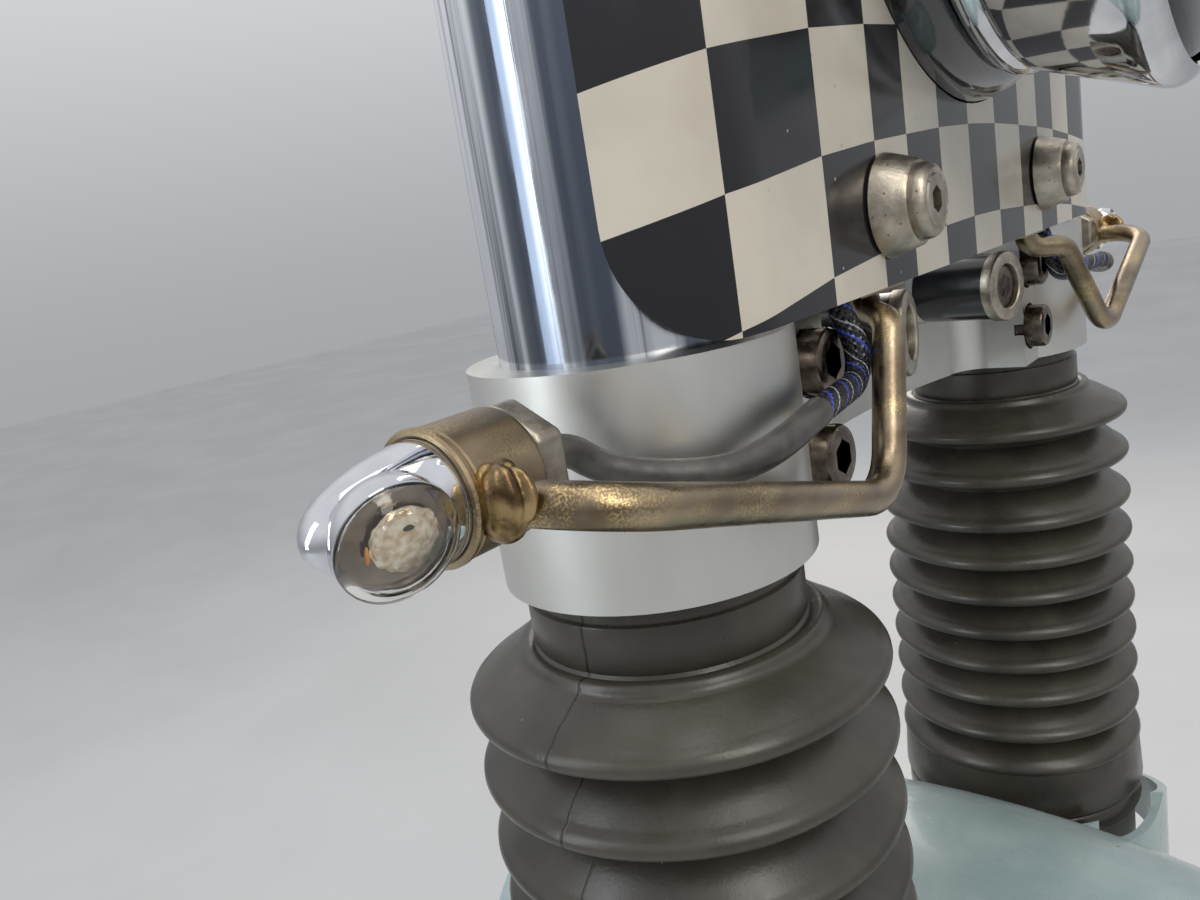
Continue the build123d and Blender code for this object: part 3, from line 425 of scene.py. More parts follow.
@dataclass(frozen=True)
class GaiterRubber(Finish):
    """Moulded rubber with the flash line of its mould on one side of the leg."""

    leg: tuple[float, float] = (45.0, -103.0)
    seam_angle: float = -100.0
    seam_width: float = 0.5
    seam_wander: float = 0.8
    seam_height: float = 6.0
    seam_colour: Colour = (0.012, 0.011, 0.01)

    def seam(self, w: Weaver, place: Socket) -> Socket:
        """A mask along the flash line.

        Args:
            w: Adds the nodes.
            place: The position that the pattern reads.

        Returns:
            The mask's socket.
        """
        xyz = w.add("ShaderNodeSeparateXYZ", {0: place})
        x = w.math("SUBTRACT", xyz.outputs[0], self.leg[0] * MM)
        y = w.math("SUBTRACT", xyz.outputs[1], self.leg[1] * MM)
        cos, sin = math.cos(math.radians(self.seam_angle)), math.sin(math.radians(self.seam_angle))
        along = w.math("ADD", w.math("MULTIPLY", x, cos), w.math("MULTIPLY", y, sin))
        across = w.math("SUBTRACT", w.math("MULTIPLY", y, cos), w.math("MULTIPLY", x, sin))
        wander = w.math("MULTIPLY", w.math("SUBTRACT", w.cloud(place, 300.0), 0.5), self.seam_wander * MM)
        off = w.math("ABSOLUTE", w.math("ADD", across, wander))
        line = w.spread(off, self.seam_width * MM, self.seam_width * 0.3 * MM)
        return w.math("MULTIPLY", line, w.math("GREATER_THAN", along, 0.0))

    def base(self, w: Weaver, place: Socket) -> Socket:
        """Cloudy rubber, darker along the flash line."""
        return w.blend(self.seam(w, place), super().base(w, place), self.seam_colour)

    def height(self, w: Weaver, place: Socket) -> Socket:
        """Grain with the raised flash line."""
        raised = w.math("MULTIPLY", self.seam(w, place), self.seam_height)
        return w.math("ADD", super().height(w, place), raised)


@dataclass(frozen=True)
class Chequer(Finish):
    """Gloss enamel in black and cream squares that follow the panel's UV map."""

    black: Colour = (0.012, 0.012, 0.014)

    def base(self, w: Weaver, place: Socket) -> Socket:
        """Squares of one UV unit, the cream ones a little cloudy.

        Args:
            w: Adds the nodes.
            place: The position that the pattern reads.

        Returns:
            The colour's socket.
        """
        uv = w.add("ShaderNodeUVMap", uv_map="chequer").outputs[0]
        squares = w.add("ShaderNodeTexChecker", {"Vector": uv, "Scale": 1.0}).outputs["Fac"]
        cream = super().base(w, place)
        return w.blend(squares, self.black, cream)


@dataclass(frozen=True)
class HeatTint(Finish):
    """Bare steel tinted by welding, with granular gold in patches."""

    gold: Colour = (0.66, 0.48, 0.22)

    def base(self, w: Weaver, place: Socket) -> Socket:
        """Brown tint broken by gold grains in long patches.

        Args:
            w: Adds the nodes.
            place: The position that the pattern reads.

        Returns:
            The colour's socket.
        """
        patch = w.spread(w.cloud(w.squeeze(place, (1.0, 0.35, 1.0)), 110.0, 3.0), 0.48, 0.66)
        grains = w.spread(w.cloud(place, 3200.0, 2.0), 0.42, 0.68)
        return w.blend(w.math("MULTIPLY", patch, grains), super().base(w, place), self.gold)


@dataclass(frozen=True)
class Braid(Finish):
    """Woven sleeve over a lead: crossing strands with coloured tracers, on the tube's UV map."""

    tracer: Colour = (0.05, 0.09, 0.5)
    light: Colour = (0.5, 0.52, 0.6)
    strands: float = 10.0
    tracers: float = 2.0
    twist: float = 0.062

    def weave(self, w: Weaver, lean: float) -> Socket:
        """A saw wave of strands that lean one way round the tube.

        Args:
            w: Adds the nodes.
            lean: One or minus one, for the way that the strands lean.

        Returns:
            The wave's socket.
        """
        uv = w.add("ShaderNodeUVMap", uv_map="braid").outputs[0]
        xyz = w.add("ShaderNodeSeparateXYZ", {0: uv})
        around = w.math("MULTIPLY", xyz.outputs[0], self.strands * lean)
        along = w.math("MULTIPLY", xyz.outputs[1], self.strands * self.twist)
        return w.math("PINGPONG", w.math("ADD", around, along), 0.5)

    def base(self, w: Weaver, place: Socket) -> Socket:
        """Black strands, with blue and pale tracers that run one way.

        Args:
            w: Adds the nodes.
            place: The position that the pattern reads.

        Returns:
            The colour's socket.
        """
        uv = w.add("ShaderNodeUVMap", uv_map="braid").outputs[0]
        xyz = w.add("ShaderNodeSeparateXYZ", {0: uv})
        along = w.math("MULTIPLY", xyz.outputs[1], self.tracers * self.twist)
        helix = w.math("ADD", w.math("MULTIPLY", xyz.outputs[0], self.tracers), along)
        band = w.math("LESS_THAN", w.math("FRACT", helix), 0.2)
        over = w.math("GREATER_THAN", self.weave(w, 1.0), w.math("MULTIPLY", self.weave(w, -1.0), 0.9))
        ticks = w.math("MULTIPLY", band, over)
        colour = w.blend(ticks, super().base(w, place), self.tracer)
        pale = w.math("LESS_THAN", w.math("FRACT", w.math("ADD", helix, 0.55)), 0.06)
        return w.blend(w.math("MULTIPLY", pale, over), colour, self.light)

    def height(self, w: Weaver, place: Socket) -> Socket:
        """Strands standing proud where they cross over."""
        return w.math("MAXIMUM", self.weave(w, 1.0), self.weave(w, -1.0))


@dataclass(frozen=True)
class Clear(Finish):
    """Clear glass or plastic with a faint wave in its surface."""

    ior: float = 1.49

    def settings(self, shader: Node) -> None:
        """Lets light through.

        Args:
            shader: The material's shader.
        """
        super().settings(shader)
        shader.inputs["Transmission Weight"].default_value = 1.0
        shader.inputs["IOR"].default_value = self.ior


ENAMEL = Finish("gloss_black_enamel", (0.014, 0.014, 0.016), (0.022, 0.022, 0.025), 0.0, (0.12, 0.2),
                coat=0.6, dust_share=0.03, bump=0.02)
GROUND = Finish("ground_steel", (0.34, 0.34, 0.35), (0.5, 0.5, 0.5), 1.0, (0.22, 0.36), bump=0.02)
ALUMINIUM = Finish("satin_aluminium", (0.6, 0.6, 0.575), (0.72, 0.71, 0.67), 1.0, (0.34, 0.46), 24.0,
                   run=(1.0, 1.0, 0.4), grain=1800.0, bump=0.006, dust_share=0.04, dust=(0.2, 0.16, 0.11),
                   dust_size=0.05, dust_scale=200.0)
# tube chrome: its dark and bright colours are painted reflections, laid as streaks along the tube
TUBE = TubeChrome("hard_chrome_tube", (0.13, 0.15, 0.19), (0.93, 0.95, 1.0), 1.0, (0.06, 0.15), 30.0,
                  bump=0.03)
CHROME = Finish("bright_chrome", (0.6, 0.61, 0.64), (0.78, 0.79, 0.82), 1.0, (0.03, 0.07), bump=0.004,
                dust_share=0.03, dust_size=0.08)
ALLOY = Finish("satin_slider_alloy", (0.42, 0.39, 0.36), (0.56, 0.52, 0.48), 1.0, (0.34, 0.48),
               run=(1.0, 1.0, 0.3), bump=0.03)
DARK_STEEL = Finish("dark_plated_steel", (0.1, 0.085, 0.07), (0.22, 0.18, 0.145), 1.0, (0.2, 0.34), 220.0,
                    bump=0.02, dust_share=0.15, dust=(0.45, 0.36, 0.24), dust_size=0.2, dust_scale=700.0)
BOSS_BLACK = Finish("satin_black_boss", (0.012, 0.012, 0.013), (0.02, 0.02, 0.022), 0.0, (0.16, 0.26),
                    coat=0.3, bump=0.01)
PLATED = Finish("dull_zinc_plating", (0.34, 0.3, 0.24), (0.52, 0.47, 0.39), 1.0, (0.28, 0.45), 240.0,
                grain=1600.0, bump=0.05, dust_share=0.35, dust=(0.2, 0.16, 0.11), dust_size=0.25,
                dust_scale=900.0)
RAW_ROD = HeatTint("heat_tinted_rod", (0.17, 0.13, 0.085), (0.36, 0.29, 0.2), 1.0, (0.24, 0.36), 110.0,
                   run=(1.0, 0.3, 1.0), grain=2600.0, bump=0.03)
BRONZE = HeatTint("tinted_collar_steel", (0.25, 0.19, 0.12), (0.38, 0.3, 0.2), 1.0, (0.32, 0.42), 70.0,
                  grain=2200.0, bump=0.02, gold=(0.5, 0.38, 0.2), dust_share=0.08, dust=(0.12, 0.09, 0.06),
                  dust_scale=600.0)
WELD = Finish("weld_bead", (0.1, 0.062, 0.034), (0.45, 0.32, 0.15), 1.0, (0.24, 0.4), 260.0, grain=900.0,
              bump=0.05)
LAMP_BLACK = Finish("lamp_black_gloss", (0.009, 0.009, 0.01), (0.014, 0.014, 0.016), 0.0, (0.06, 0.12),
                    coat=1.0, bump=0.0, dust_share=0.03, dust_size=0.1)
MIRROR = Finish("aluminised_bowl", (0.72, 0.72, 0.72), (0.84, 0.84, 0.84), 1.0, (0.03, 0.08), bump=0.0)
CLEAR = Clear("clear_plastic", (0.97, 0.95, 0.9), (1.0, 0.99, 0.96), 0.0, (0.015, 0.04), bump=0.01,
              grain=500.0)
GLASS = Clear("clear_glass", (0.97, 0.98, 0.98), (1.0, 1.0, 1.0), 0.0, (0.0, 0.02), bump=0.0, ior=1.5)
LED = Finish("led_facets", (0.62, 0.47, 0.31), (1.0, 0.94, 0.82), 0.45, (0.05, 0.2), 700.0, grain=1500.0,
             bump=0.08)
AMBER = Finish("amber_tint", (0.85, 0.25, 0.02), (0.95, 0.42, 0.05), 0.0, (0.1, 0.2), 300.0, bump=0.0)
SLEEVE = Finish("grey_sleeve", (0.045, 0.043, 0.04), (0.085, 0.08, 0.074), 0.0, (0.35, 0.5), 200.0, bump=0.05)
BRAID = Braid("braided_sleeve", (0.006, 0.006, 0.008), (0.02, 0.02, 0.026), 0.0, (0.18, 0.3), 500.0, bump=0.5)
PAINT = Finish("pale_guard_paint", (0.3, 0.4, 0.41), (0.42, 0.52, 0.52), 0.0, (0.22, 0.34), 26.0, bump=0.02,
               coat=0.35, dust_share=0.12, dust=(0.14, 0.14, 0.13), dust_size=0.12, dust_scale=200.0,
               scratch_share=0.3, scratch=(0.5, 0.55, 0.55), scratch_scale=520.0)
SEAT = Finish("smoked_lens_seat", (0.13, 0.105, 0.08), (0.26, 0.22, 0.175), 1.0, (0.12, 0.24), 120.0,
              bump=0.01)
CHEQUER = Chequer("chequered_enamel", (0.6, 0.55, 0.46), (0.7, 0.65, 0.55), 0.0, (0.1, 0.18), 34.0,
                  bump=0.012, coat=0.1, dust_share=0.05, dust=(0.4, 0.36, 0.3), dust_size=0.1)


def at(x: float, y: float, z: float) -> Vector:
    """A point given in millimetres."""
    return Vector((x, y, z)) * MM


def box_mm(node: str) -> tuple[Vector, Vector]:
    """A node's corners in millimetres."""
    low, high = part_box(node)
    return low / MM, high / MM


def aim(origin: Vector, axis: Vector) -> Matrix:
    """A placing whose Z points along the axis and whose X is as level as it can be.

    Args:
        origin: Where it stands, in metres.
        axis: The way its Z points.

    Returns:
        The placing.
    """
    z = axis.normalized()
    side = UP.cross(z)
    x = side.normalized() if side.length > 1e-6 else FORWARD
    y = z.cross(x)
    turn = Matrix((x, y, z)).transposed().to_4x4()
    return Matrix.Translation(origin) @ turn


def sharp_edges(bm: Shape, angle: float) -> list[bmesh.types.BMEdge]:
    """The edges whose faces meet at more than the angle, in degrees."""
    limit = math.radians(angle)
    return [e for e in bm.edges if len(e.link_faces) == 2 and e.calc_face_angle(0.0) > limit]


def soften(bm: Shape, width: float, segments: int = 2, angle: float = 30.0) -> None:
    """Rounds sharp edges by a width in millimetres."""
    bmesh.ops.bevel(bm, geom=sharp_edges(bm, angle), offset=width * MM, offset_type="OFFSET",
                    segments=segments, profile=0.5, affect="EDGES", clamp_overlap=True, material=-1)


def turned(profile: Profile, origin: Vector, axis: Vector, steps: int = 64, ring: bool = False) -> Shape:
    """Turns a profile about an axis, as on a lathe.

    Args:
        profile: Points along the axis and out from it, in millimetres.
        origin: Where the profile's zero lies, in metres.
        axis: The way the profile runs.
        steps: How many steps the full turn has.
        ring: Whether the profile closes on itself, as for a tube.

    Returns:
        The closed shape.
    """
    bm = bmesh.new()
    verts = [bm.verts.new(Vector((radius, 0.0, along)) * MM) for along, radius in profile]
    edges = [bm.edges.new(pair) for pair in zip(verts, verts[1:])]
    if ring:
        edges.append(bm.edges.new((verts[-1], verts[0])))
    bmesh.ops.spin(bm, geom=verts + edges, cent=(0, 0, 0), axis=(0, 0, 1), angle=math.tau, steps=steps,
                   use_merge=True)
    bmesh.ops.remove_doubles(bm, verts=bm.verts, dist=1e-7)
    bmesh.ops.recalc_face_normals(bm, faces=bm.faces)
    bmesh.ops.transform(bm, matrix=aim(origin, axis), verts=bm.verts)
    return bm


def merged(node: str) -> Shape:
    """A copy of a CAD node's mesh with its triangles joined and its flat faces whole.

    Args:
        node: The node.

    Returns:
        The copy, in metres.
    """
    bm = bmesh.new()
    bm.from_mesh(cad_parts[node].data)
    bmesh.ops.remove_doubles(bm, verts=bm.verts, dist=3e-6)
    bmesh.ops.dissolve_degenerate(bm, dist=1e-6, edges=bm.edges)
    bmesh.ops.dissolve_limit(bm, angle_limit=math.radians(0.4), verts=bm.verts, edges=bm.edges)
    return bm


def socket_head(profile: Profile, origin: Vector, axis: Vector, flats: float, depth: float) -> Shape:
    """A turned bolt head whose open top gets a hexagon socket.

    Args:
        profile: The head from the socket's rim outwards and down, in millimetres.
        origin: The middle of the head's seat, in metres.
        axis: The way the head faces.
        flats: The socket's width across flats.
        depth: The socket's depth.

    Returns:
        The head, closed.
    """
    top = profile[0][0]
    bm = turned(profile, Vector((0, 0, 0)), UP, 48)
    rim = [e for e in bm.edges if e.is_boundary]
    hexagon = bmesh.ops.create_circle(bm, segments=6, radius=flats / math.sqrt(3) * MM,
                                      matrix=Matrix.Translation((0, 0, top * MM)))["verts"]
    edges = list({e for v in hexagon for e in v.link_edges})
    cut = bmesh.ops.subdivide_edges(bm, edges=edges, cuts=7)
    ring = list({e for e in edges} | {e for e in cut["geom"] if isinstance(e, bmesh.types.BMEdge)})
    bmesh.ops.bridge_loops(bm, edges=rim + ring)
    walls = bmesh.ops.extrude_edge_only(bm, edges=ring)["geom"]
    low = [v for v in walls if isinstance(v, bmesh.types.BMVert)]
    bmesh.ops.translate(bm, vec=(0, 0, -depth * MM), verts=low)
    floor = [e for e in walls if isinstance(e, bmesh.types.BMEdge) and e.is_boundary]
    bmesh.ops.edgenet_fill(bm, edges=floor)
    bmesh.ops.recalc_face_normals(bm, faces=bm.faces)
    bmesh.ops.transform(bm, matrix=aim(origin, axis), verts=bm.verts)
    return bm


def join(parts: Sequence[Shape]) -> Shape:
    """Puts several shapes into one.

    Args:
        parts: The shapes; all but the first are freed.

    Returns:
        The first shape, with the others in it.
    """
    whole = parts[0]
    for part in parts[1:]:
        mesh = bpy.data.meshes.new("passing")
        part.to_mesh(mesh)
        whole.from_mesh(mesh)
        bpy.data.meshes.remove(mesh)
        part.free()
    return whole


def carved(bm: Shape, cutter: Shape) -> Shape:
    """Cuts one shape out of another.

    Args:
        bm: The shape that is cut; it is freed.
        cutter: The closed shape that is taken out; it is freed.

    Returns:
        What is left, as a new shape.
    """
    holders = []
    for shape in (bm, cutter):
        mesh = bpy.data.meshes.new("passing")
        shape.to_mesh(mesh)
        shape.free()
        holders.append(bpy.data.objects.new("passing", mesh))
        bpy.context.scene.collection.objects.link(holders[-1])
    cut = holders[0].modifiers.new("cut", "BOOLEAN")
    cut.operation = "DIFFERENCE"
    cut.object = holders[1]
    seen = bpy.context.evaluated_depsgraph_get()
    result = bmesh.new()
    result.from_object(holders[0], seen)
    for holder in holders:
        mesh = holder.data
        bpy.data.objects.remove(holder)
        bpy.data.meshes.remove(mesh)
    return result


def piece(name: str, bm: Shape, finish: Finish, replaced: Sequence[str] = (),
          body: Body = Body.FORK, crease: float = 32.0, flat_faces: bool = False) -> bpy.types.Object:
    """Makes an object of a shape, dresses it and hangs it on its body.

    Args:
        name: The object's name.
        bm: The shape, in metres, where it stands.
        finish: Its finish.
        replaced: CAD nodes that it stands for.
        body: The body that it moves with.
        crease: The angle, in degrees, past which an edge is sharp.
        flat_faces: Whether large faces keep their shading flat beside small ones.

    Returns:
        The object.
    """
    mesh = bpy.data.meshes.new(name)
    bm.to_mesh(mesh)
    bm.free()
    mesh.materials.append(finish.material())
    mesh.polygons.foreach_set("use_smooth", [True] * len(mesh.polygons))
    mesh.set_sharp_from_angle(angle=math.radians(crease))
    made = bpy.data.objects.new(name, mesh)
    bpy.context.scene.collection.objects.link(made)
    if flat_faces:
        weighted = made.modifiers.new("flat_faces", "WEIGHTED_NORMAL")
        weighted.keep_sharp = True
    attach(made, body.value)
    if replaced:
        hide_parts(*replaced)
    LOG.info("%s: %d faces", name, len(mesh.polygons))
    return made


def machined(node: str, finish: Finish, width: float = 0.5, segments: int = 2,
             body: Body = Body.FORK) -> bpy.types.Object:
    """A CAD node's shape with its sharp edges broken, standing for it.

    Args:
        node: The node.
        finish: The piece's finish.
        width: How much comes off an edge, in millimetres.
        segments: How many steps the rounding has.
        body: The body that it moves with.

    Returns:
        The object.
    """
    bm = merged(node)
    soften(bm, width, segments)
    return piece(f"{node}_machined", bm, finish, [node], body, flat_faces=True)


def dress(node: str, finish: Finish) -> None:
    """Gives a CAD node that stays its finish.

    Args:
        node: The node.
        finish: Its new finish.
    """
    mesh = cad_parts[node].data
    mesh.materials.clear()
    mesh.materials.append(finish.material())


def sleeve(name: str, points: Sequence[Vector], radius: float, sides: int = 20) -> Shape:
    """A tube along a line of points, with a UV map round it and along it in millimetres.

    Args:
        name: The UV map's name.
        points: The line, in metres.
        radius: The tube's radius, in millimetres.
        sides: How many sides its section has.

    Returns:
        The tube with closed ends.
    """
    bm = bmesh.new()
    layer = bm.loops.layers.uv.new(name)
    side = UP
    rings, runs, run = [], [], 0.0
    for i, here in enumerate(points):
        ahead = points[min(i + 1, len(points) - 1)] - points[max(i - 1, 0)]
        forward = ahead.normalized()
        side = (side - forward * side.dot(forward)).normalized()
        across = forward.cross(side)
        placing = Matrix.Translation(here) @ Matrix((side, across, forward)).transposed().to_4x4()
        ring = bmesh.ops.create_circle(bm, segments=sides, radius=radius * MM, matrix=placing)["verts"]
        run += (here - points[i - 1]).length / MM if i else 0.0
        rings.append(ring)
        runs.append(run)
    place = {v: (k / sides, runs[i]) for i, ring in enumerate(rings) for k, v in enumerate(ring)}
    for near, far in zip(rings, rings[1:]):
        for k in range(sides):
            following = (k + 1) % sides
            face = bm.faces.new((near[k], near[following], far[following], far[k]))
            for loop in face.loops:
                u, v = place[loop.vert]
                if following == 0 and loop.vert in (near[0], far[0]):
                    u = 1.0
                loop[layer].uv = (u, v)
    for end in (rings[0], rings[-1]):
        bm.faces.new(end)
    bmesh.ops.recalc_face_normals(bm, faces=bm.faces)
    return bm


def nurbs_line(points: Sequence[Point], sign: int) -> list[Vector]:
    """Points read from the smooth line through a route's control points.

    Args:
        points: The route in millimetres, on the left side.
        sign: Minus one puts it on the right.

    Returns:
        The line's points, in metres.
    """
    curve = bpy.data.curves.new("route", "CURVE")
    curve.dimensions = "3D"
    curve.resolution_u = 14
    spline = curve.splines.new("NURBS")
    spline.points.add(len(points) - 1)
    for point, (x, y, z) in zip(spline.points, points):
        point.co = (x * MM, y * sign * MM, z * MM, 1.0)
    spline.order_u = 3
    spline.use_endpoint_u = True
    holder = bpy.data.objects.new("route", curve)
    mesh = bpy.data.meshes.new_from_object(holder)
    line = [v.co.copy() for v in mesh.vertices]
    bpy.data.objects.remove(holder)
    bpy.data.curves.remove(curve)
    bpy.data.meshes.remove(mesh)
    return line


@dataclass
class Studio:
    """Camera, lights and floor."""

    eye: Point = (154.62, -245.40, -63.92)
    right: Point = (0.77606881, 0.61050599, -0.15811272)
    up: Point = (-0.01563215, 0.26925992, 0.96294067)
    lens: float = 29.207
    floor_gap: float = 1.0

    def camera(self) -> None:
        """Sets the camera where the photograph was taken."""
        right, up = Vector(self.right), Vector(self.up)
        back = right.cross(up)
        data = bpy.data.cameras.new("photo_camera")
        data.lens = self.lens
        data.sensor_width = 36.0
        data.clip_start = 0.01
        made = bpy.data.objects.new("photo_camera", data)
        made.matrix_world = Matrix.Translation(at(*self.eye)) @ Matrix((right, up,
                                                                        back)).transposed().to_4x4()
        bpy.context.scene.collection.objects.link(made)
        bpy.context.scene.camera = made

    def world(self) -> None:
        """A pale room, soft and a little brighter overhead."""
        world = bpy.data.worlds.new("pale_room")
        world.use_nodes = True
        world.node_tree.nodes.clear()
        w = Weaver(world.node_tree)
        place = w.add("ShaderNodeTexCoord").outputs["Generated"]
        xyz = w.add("ShaderNodeSeparateXYZ", {0: place})
        lift = w.spread(xyz.outputs[2], -0.1, 0.6)
        shade = w.blend(lift, (0.38, 0.39, 0.41), (0.86, 0.87, 0.89))
        paths = w.add("ShaderNodeLightPath")
        seen = w.math("MAXIMUM", paths.outputs["Is Camera Ray"], paths.outputs["Is Transmission Ray"])
        seen = w.math("MAXIMUM", seen, paths.outputs["Is Glossy Ray"])
        strength = w.math("ADD", w.math("MULTIPLY", seen, 0.35), 0.65)
        light = w.add("ShaderNodeBackground", {"Color": shade, "Strength": strength})
        out = w.add("ShaderNodeOutputWorld")
        world.node_tree.links.new(light.outputs[0], out.inputs[0])
        bpy.context.scene.world = world

    def lamp(self, name: str, place: Point, target: Point, size: tuple[float, float], power: float,
             colour: Colour) -> None:
        """Adds a soft box.

        Args:
            name: The lamp's name.
            place: Where it stands, in metres.
            target: The point that it faces, in metres.
            size: Its width and height, in metres.
            power: Its power in watts.
            colour: The colour of its light.
        """
        data = bpy.data.lights.new(name, "AREA")
        data.shape = "RECTANGLE"
        data.size, data.size_y = size
        data.energy = power
        data.color = colour
        made = bpy.data.objects.new(name, data)
        made.location = place
        made.rotation_mode = "QUATERNION"
        made.rotation_quaternion = (Vector(target) - Vector(place)).to_track_quat("-Z", "Y")
        bpy.context.scene.collection.objects.link(made)

    def floor(self) -> None:
        """A wide pale floor under the axle lugs."""
        bm = bmesh.new()
        bmesh.ops.create_grid(bm, x_segments=2, y_segments=2, size=6.0)
        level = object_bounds()[0].z - self.floor_gap * MM
        bmesh.ops.translate(bm, vec=(0, 0, level), verts=bm.verts)
        mesh = bpy.data.meshes.new("floor")
        bm.to_mesh(mesh)
        bm.free()
        made = bpy.data.objects.new("floor", mesh)
        bpy.context.scene.collection.objects.link(made)
        finish = Finish("pale_floor", (0.56, 0.57, 0.58), (0.6, 0.61, 0.62), 0.0, (0.6, 0.8), 3.0, bump=0.0)
        mesh.materials.append(finish.material())
        made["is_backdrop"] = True

    def build(self) -> None:
        """Makes the camera, the light and the floor."""
        self.camera()
        self.world()
        self.lamp("key_right", (1.1, -0.5, 0.9), (0.05, 0, -0.1), (0.5, 1.2), 9.0, (1.0, 0.95, 0.88))
        self.lamp("fill_left", (-0.6, -1.3, 0.35), (0.05, 0, -0.15), (0.4, 1.4), 7.0, (0.86, 0.94, 1.0))
        self.lamp("top", (0.1, 0.1, 1.5), (0.05, 0, 0), (1.2, 1.2), 7.0, (1.0, 0.98, 0.95))
        self.lamp("far_side", (-0.6, 1.2, 0.5), (0.05, 0.1, -0.2), (0.6, 1.2), 6.0, (1.0, 0.9, 0.8))
        self.floor()
        bpy.context.scene.view_settings.view_transform = "Standard"
        LOG.info("studio ready")


@dataclass
class SteeringHead:
    """Head tube, bearings, stem and its nuts."""

    edge: float = 0.4

    def build(self) -> None:
        """Makes the pieces of the head and the stem."""
        machined("steering_head_tube", ENAMEL, 0.6, body=Body.HEAD)
        for end in ("lower", "upper"):
            machined(f"head_bearing_cup_{end}", GROUND, self.edge, body=Body.HEAD)
            machined(f"head_bearing_cone_{end}", GROUND, self.edge)
        machined("steering_stem", GROUND, self.edge)
        machined("bearing_adjuster_nut", GROUND, self.edge)
        machined("steering_stem_nut", CHROME, 0.5, 3)


